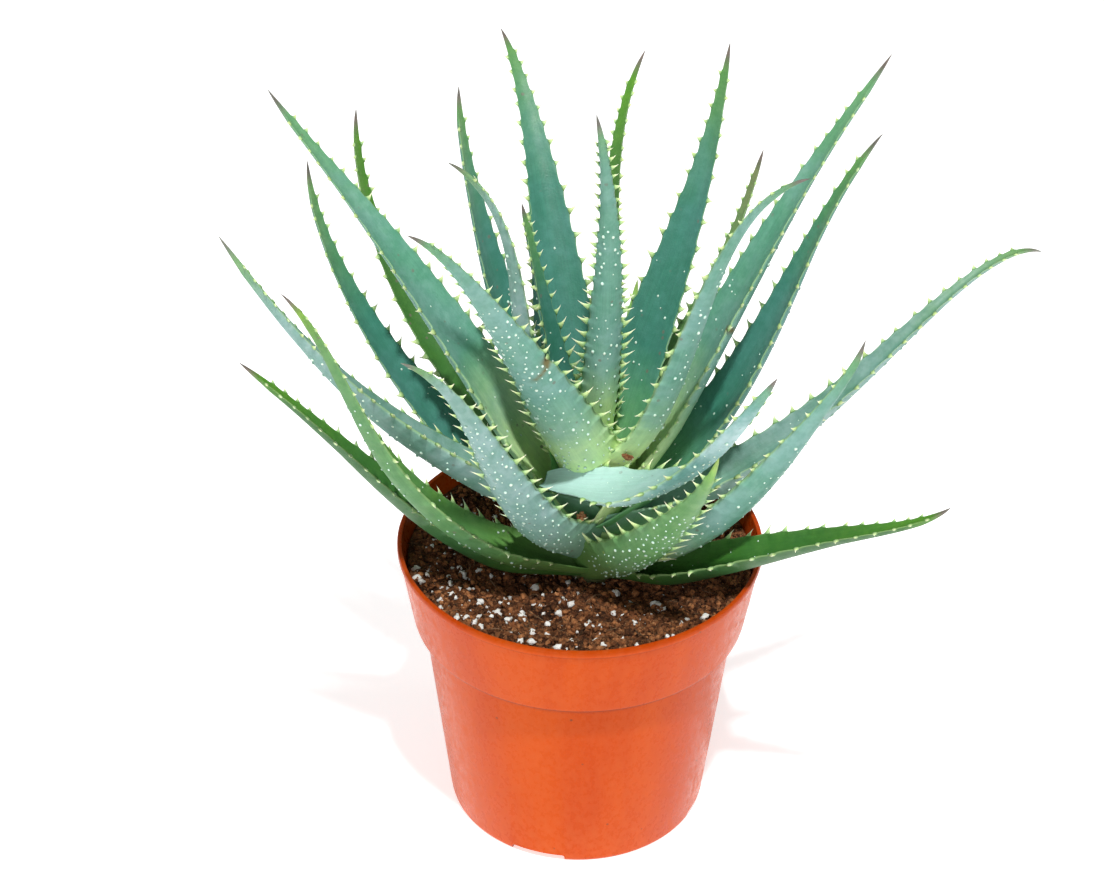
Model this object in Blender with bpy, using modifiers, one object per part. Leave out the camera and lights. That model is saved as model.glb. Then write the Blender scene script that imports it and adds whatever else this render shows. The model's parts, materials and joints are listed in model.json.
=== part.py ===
"""A potted aloe: a spiny rosette on a short stem, in potting soil, in a plain nursery pot.

Metres, +Z up. The origin is the centre of the pot's underside, and -Y is the front.
"""

import math
from collections import namedtuple

import bmesh
import bpy
from mathutils import Matrix, Vector

# ---------------------------------------------------------------- driving dimensions
MM = 0.001
GAP = 0.3 * MM  # between pieces that touch

POT_HEIGHT = 112 * MM
RIM_RADIUS = 65 * MM
COLLAR_HEIGHT = 30.7 * MM
COLLAR_FOOT_RADIUS = 59.6 * MM  # the collar's lower edge
BODY_TOP_RADIUS = 56.3 * MM
BASE_RADIUS = 47 * MM
WALL = 1.2 * MM
RIM_LIP_HEIGHT = 2.6 * MM
RIM_LIP_STEP = 0.6 * MM
FLOOR_RISE = 3 * MM  # the floor stands this high, between the foot ring and the middle dish
DISH_RADIUS = 22 * MM
FOOT_RING_WIDTH = 2.6 * MM
NOTCH_COUNT = 4
NOTCH_WIDTH = 20 * MM
FIRST_NOTCH_ANGLE = 253  # degrees from +X, so the first notch is left of the front
DRAIN_HOLE_RADIUS = 4.5 * MM
DRAIN_HOLE_CIRCLE = 34 * MM
POT_SIDES = 72

SOIL_TOP = 98 * MM
SOIL_EDGE_RISE = 3 * MM
SOIL_SIDES = 48

STEM_X = 4 * MM  # the plant stands a little right of the pot's axis
STEM_FOOT = 84 * MM
STEM_TOP = 148 * MM
STEM_FOOT_RADIUS = 8 * MM
STEM_TOP_RADIUS = 2.2 * MM
STEM_SIDES = 16

TOOTH_PITCH = 12 * MM
TOOTH_LENGTH = 2.4 * MM
TOOTH_LEAN = 0.72  # where a tooth's point stands between two valleys
BARE_BASE = 0.10  # the share of a leaf's length that has no teeth
SHEATH_SHARE = 0.20  # the share of a leaf's length over which its base widens
SHEATH_NARROWING = 0.42
CHANNEL_DEPTH = 0.16  # how far the margins stand above the middle, as a share of the width
LEAF_THICKNESS = 0.24  # as a share of the width
LEAST_THICKNESS = 2.2 * MM

# One row for each leaf, from the lowest base up, in millimetres and degrees from +X.
# around, height, out: where the base sits on the stem.  heading: its direction in plan at the
# base and at the tip.  rise: its angle above level at the base, halfway and at the tip.
# curl: how far the last part bends up (or down).  fullness: how long it stays wide.
# roll: how far its upper face is turned about its own length, at the base and at the tip.
Leaf = namedtuple("Leaf", "around height out heading rise curl length width fullness roll")
LEAVES = [
    Leaf(319, 101, 11, (340, 337), (12, 29, 0), 48, 134, 19, 1.6, (4, 4)),
    Leaf(212, 101, 11, (187, 183), (8, 48, 38), 4, 147, 18, 1.6, (0, 0)),
    Leaf(130, 103, 10, (128, 120), (12, 30, 30), 0, 130, 19, 1.6, (0, 0)),
    Leaf(244, 105, 11, (188, 214), (13, 62, 88), -40, 174, 18, 1.6, (0, 0)),
    Leaf(286, 106, 11, (304, 304), (42, 51, 64), 9, 110, 23, 1.9, (-36, -36)),
    Leaf(75, 107, 10, (78, 70), (15, 32, 35), 0, 135, 20, 1.6, (0, 0)),
    Leaf(328, 108, 10, (337, 346), (17, 57, 46), 29, 142, 21, 1.7, (-25, -25)),
    Leaf(235, 113, 10, (229, 232), (40, 63, 47), -14, 148, 23, 1.9, (25, 25)),
    Leaf(155, 114, 10, (164, 157), (26, 53, 73), 16, 167, 21, 1.5, (-8, -8)),
    Leaf(4, 116, 9, (7, 37), (16, 40, 55), -90, 189, 18, 1.5, (0, 0)),
    Leaf(102, 117, 9, (104, 100), (20, 40, 45), 0, 145, 20, 1.6, (0, 0)),
    Leaf(192, 122, 10, (188, 190), (31, 48, 82), -24, 170, 22, 1.5, (14, 14)),
    Leaf(13, 124, 8, (13, 12), (31, 66, 67), -18, 168, 25, 1.5, (6, 6)),
    Leaf(72, 126, 6, (76, 74), (28, 52, 58), 0, 96, 18, 1.6, (0, 0)),
    Leaf(169, 127, 9, (159, 161), (52, 53, 41), 11, 178, 25, 1.7, (-5, -5)),
    Leaf(0, 129, 8, (17, 24), (56, 62, 47), 5, 184, 24, 1.7, (-6, 0)),
    Leaf(112, 130, 11, (142, 137), (1, 46, 88), 8, 171, 18, 1.5, (0, 0)),
    Leaf(115, 133, 7, (105, 110), (61, 56, 45), -35, 168, 23, 1.7, (0, 0)),
    Leaf(80, 136, 10, (41, 44), (43, 51, 83), -15, 127, 9, 1.5, (0, 0)),
    Leaf(278, 138, 5, (233, 233), (68, 58, 71), -37, 173, 24, 2.1, (30, 30)),
    Leaf(46, 138, 7, (50, 54), (71, 61, 96), -18, 156, 25, 1.5, (0, 0)),
    Leaf(348, 141, 7, (326, 317), (54, 73, 57), -32, 164, 17, 1.6, (0, 0)),
    Leaf(165, 142, 6, (152, 148), (52, 72, 77), 12, 145, 21, 1.5, (0, 0)),
    Leaf(69, 143, 4, (66, 53), (71, 91, 75), -34, 153, 13, 1.6, (0, 0)),
    Leaf(259, 146, 15, (329, 314), (10, 49, 66), -8, 109, 20, 1.7, (0, 0)),
    Leaf(195, 146, 5, (198, 202), (49, 84, 58), -28, 137, 18, 1.6, (0, 0)),
    Leaf(150, 147, 3, (141, 140), (63, 74, 72), 0, 94, 11, 1.5, (0, 0)),
    Leaf(301, 148, 4, (302, 244), (91, 78, 75), -8, 153, 14, 1.7, (0, 0)),
]


# ---------------------------------------------------------------- helpers
def clear_scene():
    for obj in list(bpy.data.objects):
        bpy.data.objects.remove(obj, do_unlink=True)


def new_collection(name):
    collection = bpy.data.collections.new(name)
    bpy.context.scene.collection.children.link(collection)
    return collection


def new_material(name, colour, roughness, coat=0.0):
    material = bpy.data.materials.new(name)
    material.use_nodes = True
    shader = material.node_tree.nodes["Principled BSDF"]
    shader.inputs["Base Color"].default_value = (*colour, 1.0)
    shader.inputs["Roughness"].default_value = roughness
    shader.inputs["Metallic"].default_value = 0.0
    shader.inputs["Coat Weight"].default_value = coat
    material.diffuse_color = (*colour, 1.0)
    return material


def new_object(name, mesh, collection, material=None):
    obj = bpy.data.objects.new(name, mesh)
    collection.objects.link(obj)
    if material:
        mesh.materials.append(material)
    return obj


def turned(name, profile, sides, collection, material=None):
    """A solid turned about Z from a profile that runs down its outer side, in (radius, height)."""
    mesh = bpy.data.meshes.new(name)
    mesh.from_pydata([(r, 0.0, z) for r, z in profile],
                     [(i, i + 1) for i in range(len(profile) - 1)], [])
    obj = new_object(name, mesh, collection, material)
    screw = obj.modifiers.new("Turn", "SCREW")
    screw.axis = "Z"
    screw.angle = 2 * math.pi
    screw.steps = screw.render_steps = sides
    screw.use_merge_vertices = True
    screw.merge_threshold = 0.00001
    screw.use_smooth_shade = True
    return obj


def hide_cutter(obj):
    obj.hide_render = True
    obj.display_type = "WIRE"


def cut(obj, cutter):
    boolean = obj.modifiers.new("Cut " + cutter.name, "BOOLEAN")
    boolean.operation = "DIFFERENCE"
    boolean.object = cutter


def cylinder_cutter(name, radius, height, centre, sides, cutters):
    mesh = bpy.data.meshes.new(name)
    form = bmesh.new()
    bmesh.ops.create_cone(form, cap_ends=True, segments=sides, radius1=radius, radius2=radius,
                          depth=height)
    form.to_mesh(mesh)
    form.free()
    obj = new_object(name, mesh, cutters)
    obj.location = centre
    hide_cutter(obj)
    return obj


def box_cutter(name, size, centre, angle, cutters):
    mesh = bpy.data.meshes.new(name)
    form = bmesh.new()
    bmesh.ops.create_cube(form, size=1.0, matrix=Matrix.Diagonal((*size, 1.0)))
    form.to_mesh(mesh)
    form.free()
    obj = new_object(name, mesh, cutters)
    obj.location = centre
    obj.rotation_euler.z = angle
    hide_cutter(obj)
    return obj


# ---------------------------------------------------------------- pot
def collar_foot_height():
    return POT_HEIGHT - COLLAR_HEIGHT


def inner_radius(height):
    """The pot's inside radius at a height above its floor."""
    step = collar_foot_height() + WALL
    if height >= step:
        share = (height - step) / (POT_HEIGHT - step)
        foot, top = COLLAR_FOOT_RADIUS - WALL, RIM_RADIUS - RIM_LIP_STEP - WALL
    else:
        share = height / step
        foot, top = BASE_RADIUS - WALL, BODY_TOP_RADIUS - WALL
    return foot + share * (top - foot)


def make_pot(parts, cutters):
    step = collar_foot_height()
    floor = FLOOR_RISE + WALL
    lip = POT_HEIGHT - RIM_LIP_HEIGHT
    foot_ring = BASE_RADIUS - FOOT_RING_WIDTH
    profile = [
        (0.0, WALL),
        (DISH_RADIUS, WALL),
        (DISH_RADIUS + 2 * MM, floor),
        (inner_radius(floor) - 1 * MM, floor),
        (inner_radius(floor + 1 * MM), floor + 1 * MM),
        (inner_radius(step), step),
        (inner_radius(step + WALL), step + WALL),
        (inner_radius(POT_HEIGHT), POT_HEIGHT - 0.4 * MM),
        (inner_radius(POT_HEIGHT) + 0.4 * MM, POT_HEIGHT),
        (RIM_RADIUS - 0.5 * MM, POT_HEIGHT),
        (RIM_RADIUS, POT_HEIGHT - 0.5 * MM),
        (RIM_RADIUS, lip + 0.6 * MM),
        (RIM_RADIUS - RIM_LIP_STEP, lip),
        (COLLAR_FOOT_RADIUS + 0.2 * MM, step + 0.6 * MM),
        (COLLAR_FOOT_RADIUS - 0.3 * MM, step),
        (BODY_TOP_RADIUS, step - 0.6 * MM),
        (BASE_RADIUS + 0.3 * MM, 1 * MM),
        (BASE_RADIUS - 0.4 * MM, 0.0),
        (foot_ring, 0.0),
        (foot_ring - 0.6 * MM, FLOOR_RISE),
        (DISH_RADIUS + 2.6 * MM, FLOOR_RISE),
        (DISH_RADIUS + 0.6 * MM, 0.0),
        (0.0, 0.0),
    ]
    plastic = new_material("orange_plastic", (0.71, 0.13, 0.03), 0.34)
    pot = turned("pot", profile, POT_SIDES, parts, plastic)
    for i in range(NOTCH_COUNT):
        angle = math.radians(FIRST_NOTCH_ANGLE + i * 360 / NOTCH_COUNT)
        outwards = Vector((math.cos(angle), math.sin(angle), 0.0))
        reach = 12 * MM
        size = (reach, NOTCH_WIDTH, 2 * (FLOOR_RISE - 0.4 * MM))
        cut(pot, box_cutter(f"foot_notch_{i + 1}", size, outwards * BASE_RADIUS, angle, cutters))
        hole = outwards * DRAIN_HOLE_CIRCLE + Vector((0.0, 0.0, FLOOR_RISE))
        cut(pot, cylinder_cutter(f"drain_hole_{i + 1}", DRAIN_HOLE_RADIUS, 4 * WALL, hole, 20,
                                 cutters))
    return pot


# ---------------------------------------------------------------- soil and stem
def stem_radius(height):
    share = (height - STEM_FOOT) / (STEM_TOP - STEM_FOOT)
    return STEM_FOOT_RADIUS + share * (STEM_TOP_RADIUS - STEM_FOOT_RADIUS)


def make_soil(parts, cutters):
    bottom = FLOOR_RISE + WALL + GAP
    step = collar_foot_height()
    edge = SOIL_TOP + SOIL_EDGE_RISE
    profile = [
        (0.0, SOIL_TOP),
        (26 * MM, SOIL_TOP),
        (44 * MM, SOIL_TOP + 0.6 * SOIL_EDGE_RISE),
        (inner_radius(edge) - 2 * GAP, edge),
        (inner_radius(step + WALL) - 2 * GAP, step + WALL),
        (inner_radius(step) - 2 * GAP, step),
        (inner_radius(bottom) - 2 * MM, bottom),
        (0.0, bottom),
    ]
    earth = new_material("potting_soil", (0.055, 0.026, 0.016), 0.95)
    soil = turned("soil", profile, SOIL_SIDES, parts, earth)
    depth = 2 * (SOIL_TOP - STEM_FOOT + GAP)
    socket = cylinder_cutter("stem_socket", STEM_FOOT_RADIUS + GAP, depth,
                             (STEM_X, 0.0, SOIL_TOP), STEM_SIDES, cutters)
    cut(soil, socket)
    return soil


def make_stem(parts):
    profile = [(0.0, STEM_TOP + 1.5 * MM), (0.6 * STEM_TOP_RADIUS, STEM_TOP + 1.1 * MM)]
    rings = 8
    for i in range(rings + 1):
        height = STEM_TOP + (STEM_FOOT - STEM_TOP) * i / rings
        profile.append((stem_radius(height), height))
    profile.append((0.0, STEM_FOOT))
    skin = new_material("leaf_bases_and_stem", (0.30, 0.42, 0.18), 0.6)
    stem = turned("stem", profile, STEM_SIDES, parts, skin)
    stem.location.x = STEM_X
    return stem


# ---------------------------------------------------------------- leaves
def through_three(values, share):
    """The quadratic that passes through three values, at 0, one half and 1."""
    first, middle, last = values
    return (first * (1 - share) * (1 - 2 * share) + 4 * middle * share * (1 - share)
            + last * share * (2 * share - 1))


def leaf_frames(leaf, shares):
    """(point, along, across, up) at each share of the leaf's length, walked in small steps."""
    steps = 200
    around = math.radians(leaf.around)
    out = leaf.out * MM
    point = Vector((STEM_X + out * math.cos(around), out * math.sin(around), leaf.height * MM))
    frames, done = [], 0
    for share in shares:
        while done < round(share * steps):
            point = point + leaf_direction(leaf, (done + 0.5) / steps) * leaf.length * MM / steps
            done += 1
        along = leaf_direction(leaf, share)
        heading = math.radians(leaf.heading[0] + share * (leaf.heading[1] - leaf.heading[0]))
        level = Vector((-math.sin(heading), math.cos(heading), 0.0))
        roll = math.radians(leaf.roll[0] + share * (leaf.roll[1] - leaf.roll[0]))
        across = Matrix.Rotation(roll, 3, along) @ level
        frames.append((point.copy(), along, across, along.cross(across)))
    return frames


def leaf_direction(leaf, share):
    rise = math.radians(through_three(leaf.rise, share) + leaf.curl * share ** 6)
    heading = math.radians(leaf.heading[0] + share * (leaf.heading[1] - leaf.heading[0]))
    return Vector((math.cos(rise) * math.cos(heading), math.cos(rise) * math.sin(heading),
                   math.sin(rise)))


def leaf_width(leaf, share):
    widening = min(share / SHEATH_SHARE, 1.0)
    sheath = SHEATH_NARROWING + (1 - SHEATH_NARROWING) * widening * widening * (3 - 2 * widening)
    return leaf.width * MM * sheath * (1 - share ** leaf.fullness) ** 1.25


def leaf_section(width, tooth):
    """Six corners of a channelled section, as (across, up), anticlockwise from the left margin."""
    thickness = max(LEAF_THICKNESS * width, min(LEAST_THICKNESS, 0.8 * width))
    rim = CHANNEL_DEPTH * width
    half = width / 2 + tooth
    return [(half, rim), (0.2 * width, 0.2 * rim), (-0.2 * width, 0.2 * rim), (-half, rim),
            (-0.26 * width, -0.8 * thickness), (0.26 * width, -0.8 * thickness)]


def leaf_stations(leaf):
    """(share of the length, tooth height) down a leaf: a valley and a tooth point by turns."""
    teeth = round(leaf.length * MM * (0.96 - BARE_BASE) / TOOTH_PITCH)
    stations = [(0.0, 0.0), (0.6 * BARE_BASE, 0.0)]
    for i in range(teeth):
        start = BARE_BASE + (0.96 - BARE_BASE) * i / teeth
        pitch = (0.96 - BARE_BASE) / teeth
        peak = start + TOOTH_LEAN * pitch
        size = TOOTH_LENGTH * (1 - 0.75 * peak)
        stations += [(start, 0.0), (peak, size)]
    return stations + [(0.96, 0.0)]


def make_leaf(name, leaf, parts, material):
    stations = leaf_stations(leaf)
    frames = leaf_frames(leaf, [share for share, _ in stations] + [1.0])
    form = bmesh.new()
    rings = []
    for (share, tooth), (point, _, across, up) in zip(stations, frames):
        section = leaf_section(leaf_width(leaf, share), tooth)
        rings.append([form.verts.new(point + across * u + up * v) for u, v in section])
    tip = form.verts.new(frames[-1][0])
    for ring, following in zip(rings, rings[1:]):
        for i in range(len(ring)):
            j = (i + 1) % len(ring)
            form.faces.new((ring[i], ring[j], following[j], following[i]))
    for i in range(len(rings[-1])):
        form.faces.new((rings[-1][i], rings[-1][(i + 1) % len(rings[-1])], tip))
    form.faces.new(rings[0])
    bmesh.ops.recalc_face_normals(form, faces=form.faces)
    mesh = bpy.data.meshes.new(name)
    form.to_mesh(mesh)
    form.free()
    return new_object(name, mesh, parts, material)


def make_leaves(parts):
    greens = ((0.09, 0.26, 0.20), (0.12, 0.28, 0.14), (0.13, 0.33, 0.26))
    for i, leaf in enumerate(LEAVES, 1):
        shade = greens[i * len(greens) // (len(LEAVES) + 1)]
        name = f"leaf_{i:02d}"
        make_leaf(name, leaf, parts, new_material(name + "_skin", shade, 0.5))


clear_scene()
parts = new_collection("potted_aloe")
cutters = new_collection("cutters")
make_pot(parts, cutters)
make_soil(parts, cutters)
make_stem(parts)
make_leaves(parts)
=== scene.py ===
"""Looks of a potted aloe: toothed and warty leaves, loose soil and an orange nursery pot.

Everything is in metres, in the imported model's frame: +Z up, the front towards -Y.
"""

import json
import logging
import math
import random
from dataclasses import dataclass
from enum import Enum

import bmesh
import bpy
import numpy as np
from mathutils import Matrix, Vector, noise

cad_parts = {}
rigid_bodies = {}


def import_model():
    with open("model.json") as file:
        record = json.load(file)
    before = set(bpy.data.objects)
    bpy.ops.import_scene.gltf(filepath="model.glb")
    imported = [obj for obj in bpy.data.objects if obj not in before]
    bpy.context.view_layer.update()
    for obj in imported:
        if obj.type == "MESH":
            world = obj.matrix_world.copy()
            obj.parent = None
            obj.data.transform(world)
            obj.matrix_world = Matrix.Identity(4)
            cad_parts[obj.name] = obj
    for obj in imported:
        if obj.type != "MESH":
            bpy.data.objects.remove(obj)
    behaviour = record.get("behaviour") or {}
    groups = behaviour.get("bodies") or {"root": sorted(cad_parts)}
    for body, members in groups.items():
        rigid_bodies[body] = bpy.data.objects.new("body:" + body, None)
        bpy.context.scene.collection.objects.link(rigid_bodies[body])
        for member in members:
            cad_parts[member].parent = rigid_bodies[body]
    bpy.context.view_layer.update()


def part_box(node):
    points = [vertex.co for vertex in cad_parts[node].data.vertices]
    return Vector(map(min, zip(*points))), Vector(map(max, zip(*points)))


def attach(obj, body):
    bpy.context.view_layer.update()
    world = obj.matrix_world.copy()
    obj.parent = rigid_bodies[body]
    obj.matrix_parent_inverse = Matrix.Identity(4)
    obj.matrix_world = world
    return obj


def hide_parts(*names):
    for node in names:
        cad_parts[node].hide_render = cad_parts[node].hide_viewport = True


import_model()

LOG = logging.getLogger("potted_aloe")
MM = 0.001
BODY = "root"
BATCH = 150  # copies joined at a time

Colour = tuple[float, float, float]


# ---------------------------------------------------------------- mesh helpers
def smoothstep(values: np.ndarray | float) -> np.ndarray | float:
    """Eases a value from 0 to 1, flat at both ends.

    Args:
        values: Numbers, clipped to 0 to 1.

    Returns:
        The eased numbers.
    """
    clipped = np.clip(values, 0.0, 1.0)
    return clipped * clipped * (3.0 - 2.0 * clipped)


def deselect_all() -> None:
    """Leaves nothing selected, so that an operator acts only on what comes next."""
    bpy.ops.object.select_all(action="DESELECT")


def select_only(piece: bpy.types.Object) -> None:
    """Makes one object the selected and active one."""
    deselect_all()
    piece.select_set(True)
    bpy.context.view_layer.objects.active = piece


def name_last(name: str) -> bpy.types.Object:
    """Names the object that an operator has just added.

    Args:
        name: The piece's name, which its mesh takes too.

    Returns:
        The object.
    """
    piece = bpy.context.object
    piece.name = name
    piece.data.name = name
    return piece


def coordinates(mesh: bpy.types.Mesh) -> np.ndarray:
    """Reads a mesh's points as rows of x, y and z."""
    flat = np.zeros(len(mesh.vertices) * 3)
    mesh.vertices.foreach_get("co", flat)
    return flat.reshape(-1, 3)


def move_points(mesh: bpy.types.Mesh, points: np.ndarray) -> None:
    """Puts a mesh's points where the rows say."""
    mesh.vertices.foreach_set("co", points.astype(np.float32).ravel())
    mesh.update()


def write_attribute(mesh: bpy.types.Mesh, name: str, values: np.ndarray) -> None:
    """Stores one number for each point, for a material to read.

    Args:
        mesh: The mesh that gets the attribute.
        name: The attribute's name.
        values: One number for each point.
    """
    layer = mesh.attributes.new(name, "FLOAT", "POINT")
    layer.data.foreach_set("value", values.astype(np.float32))


def cut_rings(piece: bpy.types.Object, cuts: int) -> None:
    """Subdivides the edges that climb, so that a tube gets rings between its ends.

    Args:
        piece: A cylinder or cone that stands along Z, selected and active.
        cuts: How many new points each of those edges gets.
    """
    least_climb, most_lean = 1e-6, 2.0
    bpy.ops.object.mode_set(mode="EDIT")
    bpy.ops.mesh.select_mode(type="EDGE")
    bpy.ops.mesh.select_all(action="DESELECT")
    form = bmesh.from_edit_mesh(piece.data)
    for edge in form.edges:
        low, high = edge.verts
        flat_distance = (low.co - high.co).to_2d().length
        climb = abs(low.co.z - high.co.z)
        edge.select_set(climb > least_climb and flat_distance < most_lean * climb)
    bmesh.update_edit_mesh(piece.data)
    bpy.ops.mesh.subdivide(number_cuts=cuts)
    bpy.ops.object.mode_set(mode="OBJECT")


def smooth(piece: bpy.types.Object, angle: float | None = None) -> None:
    """Shades a piece smooth.

    Args:
        piece: The piece.
        angle: The angle in degrees above which an edge stays sharp, or None for no sharp edge.
    """
    select_only(piece)
    if angle is None:
        bpy.ops.object.shade_smooth()
    else:
        bpy.ops.object.shade_smooth_by_angle(angle=math.radians(angle))


def apply_modifiers(piece: bpy.types.Object) -> None:
    """Applies every modifier of a piece, from the first to the last."""
    select_only(piece)
    for modifier in list(piece.modifiers):
        bpy.ops.object.modifier_apply(modifier=modifier.name)


def dress(piece: bpy.types.Object, material: bpy.types.Material, slot: str,
          *nodes: str) -> bpy.types.Object:
    """Gives a piece its material and its place in the model.

    Args:
        piece: The finished piece, with its place in its mesh.
        material: What it is made of.
        slot: The record's material slot; it is not used.
        nodes: The solids that it stands for.

    Returns:
        The piece.
    """
    piece.data.materials.clear()
    piece.data.materials.append(material)
    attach(piece, BODY)
    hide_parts(*nodes)
    LOG.info("%s: %d points", piece.name, len(piece.data.vertices))
    return piece


def join(pieces: list[bpy.types.Object], name: str) -> bpy.types.Object:
    """Joins pieces into one, and clears away the meshes that it leaves unused.

    Args:
        pieces: The pieces; the first one takes in the others.
        name: The joined piece's name.

    Returns:
        The joined piece.
    """
    spare = [piece.data for piece in pieces[1:]]
    deselect_all()
    for piece in pieces:
        piece.select_set(True)
    bpy.context.view_layer.objects.active = pieces[0]
    if spare:
        bpy.ops.object.join()
        bpy.data.batch_remove(spare)
    return name_last(name)


def copies(name: str, models: list[bpy.types.Object], places: list[Matrix],
           tint: list[float]) -> bpy.types.Object:
    """Copies small models, each copy with its own mesh, and joins the copies into one piece.

    The copies are joined in batches, because a join slows down with the objects in the file.

    Args:
        name: The new piece's name.
        models: The shapes to copy, taken in turn.
        places: Where each copy goes.
        tint: One number for each copy, kept as the attribute "tint".

    Returns:
        The new piece.
    """
    batches = []
    for start in range(0, len(places), BATCH):
        made = []
        for i in range(start, min(start + BATCH, len(places))):
            mesh = models[i % len(models)].data.copy()
            mesh.transform(places[i])
            write_attribute(mesh, "tint", np.full(len(mesh.vertices), tint[i]))
            made.append(bpy.data.objects.new(name, mesh))
            bpy.context.scene.collection.objects.link(made[-1])
        batches.append(join(made, name))
    piece = join(batches, name)
    smooth(piece)
    return piece


def remove(pieces: list[bpy.types.Object]) -> None:
    """Takes working models away again."""
    for piece in pieces:
        bpy.data.objects.remove(piece, do_unlink=True)


# ---------------------------------------------------------------- shader helpers
class Graph:
    """Adds the nodes of one material or node group, and joins them."""

    def __init__(self, tree: bpy.types.NodeTree) -> None:
        """Takes the node tree that is built up."""
        self.tree = tree

    def add(self, kind: str, settings: dict[str, object] | None = None,
            **inputs: object) -> bpy.types.Node:
        """Adds a node.

        Args:
            kind: The node's type, without "ShaderNode".
            settings: Its properties.
            inputs: Values or sockets for its inputs, with _ for a space in the name. The name
                in0, in1 and so on means an input by number.

        Returns:
            The node.
        """
        made = self.tree.nodes.new("ShaderNode" + kind)
        for key, value in (settings or {}).items():
            setattr(made, key, value)
        for key, value in inputs.items():
            numbered = key.startswith("in") and key[2:].isdigit()
            socket = made.inputs[int(key[2:]) if numbered else key.replace("_", " ")]
            self.feed(socket, value)
        return made

    def feed(self, socket: bpy.types.NodeSocket, value: object) -> None:
        """Sets an input to a value, or joins a socket to it.

        Args:
            socket: The input.
            value: A number, a colour, a vector, or another node's output.
        """
        if isinstance(value, bpy.types.NodeSocket):
            self.tree.links.new(value, socket)
        elif isinstance(value, tuple) and len(value) == 3 and socket.type == "RGBA":
            socket.default_value = (*value, 1.0)
        else:
            socket.default_value = value

    def maths(self, operation: str, *values: object) -> bpy.types.NodeSocket:
        """Adds a Math node.

        Args:
            operation: What it does, such as "MULTIPLY".
            values: Its inputs, in order.

        Returns:
            Its output.
        """
        inputs = {f"in{i}": value for i, value in enumerate(values)}
        return self.add("Math", {"operation": operation}, **inputs).outputs[0]

    def blend(self, factor: object, first: object, second: object,
              mode: str = "MIX") -> bpy.types.NodeSocket:
        """Mixes two colours.

        Args:
            factor: How much of the second there is.
            first: The colour at 0.
            second: The colour at 1.
            mode: The way they are mixed.

        Returns:
            The mixed colour.
        """
        settings = {"data_type": "RGBA", "blend_type": mode}
        mix = self.add("Mix", settings, in0=factor, in6=first, in7=second)
        return mix.outputs[2]

    def ramp(self, value: object, *stops: tuple[float, Colour]) -> bpy.types.NodeSocket:
        """Turns a number into a colour.

        Args:
            value: The number.
            stops: Pairs of place and colour, in order.

        Returns:
            The colour.
        """
        made = self.add("ValToRGB", in0=value)
        elements = made.color_ramp.elements
        while len(elements) < len(stops):
            elements.new(1.0)
        for element, (place, colour) in zip(elements, stops):
            element.position = place
            element.color = (*colour, 1.0)
        return made.outputs[0]

    def spread(self, value: object, low: float, high: float, to_low: float = 0.0,
               to_high: float = 1.0) -> bpy.types.NodeSocket:
        """Maps a range of numbers smoothly onto another range.

        Args:
            value: The number.
            low: The start of the first range.
            high: The end of the first range.
            to_low: What low becomes.
            to_high: What high becomes.

        Returns:
            The mapped number.
        """
        made = self.add("MapRange", {"interpolation_type": "SMOOTHSTEP"}, in0=value, in1=low,
                        in2=high, in3=to_low, in4=to_high)
        return made.outputs[0]

    def attribute(self, name: str) -> bpy.types.NodeSocket:
        """Reads a number that the mesh stores for each point."""
        return self.add("Attribute", {"attribute_name": name}).outputs["Fac"]

    def group(self, tree: bpy.types.NodeTree, **inputs: object) -> bpy.types.Node:
        """Adds a node group.

        Args:
            tree: The group.
            inputs: Values or sockets for its inputs.

        Returns:
            The group node.
        """
        made = self.tree.nodes.new("ShaderNodeGroup")
        made.node_tree = tree
        for key, value in inputs.items():
            self.feed(made.inputs[key.replace("_", " ")], value)
        return made


def new_group(name: str, inputs: list[tuple[str, float]], outputs: list[str],
              ) -> tuple[Graph, bpy.types.Node, bpy.types.Node]:
    """Starts a node group whose sockets are numbers, with a Vector input first.

    Args:
        name: The group's name.
        inputs: Its number inputs and their values.
        outputs: Its number outputs.

    Returns:
        The graph, the group's input node and its output node.
    """
    tree = bpy.data.node_groups.new(name, "ShaderNodeTree")
    tree.interface.new_socket("Vector", in_out="INPUT", socket_type="NodeSocketVector")
    for label, value in inputs:
        socket = tree.interface.new_socket(label, in_out="INPUT", socket_type="NodeSocketFloat")
        socket.default_value = value
    for label in outputs:
        tree.interface.new_socket(label, in_out="OUTPUT", socket_type="NodeSocketFloat")
    return Graph(tree), tree.nodes.new("NodeGroupInput"), tree.nodes.new("NodeGroupOutput")


def mottle_group() -> bpy.types.NodeTree:
    """Builds the effect of soft patches, with a finer break-up inside them.

    Returns:
        A group with the inputs Vector, Scale, Low and High, and the output Mask.
    """
    graph, entry, result = new_group("soft_patches", [("Scale", 60.0), ("Low", 0.4),
                                                      ("High", 0.62)], ["Mask"])
    patches = graph.add("TexNoise", Vector=entry.outputs["Vector"], Scale=entry.outputs["Scale"],
                        Detail=5.0, Roughness=0.62)
    mask = graph.add("MapRange", {"interpolation_type": "SMOOTHSTEP"}, in0=patches.outputs["Fac"],
                     in1=entry.outputs["Low"], in2=entry.outputs["High"])
    graph.feed(result.inputs["Mask"], mask.outputs[0])
    return graph.tree


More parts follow.
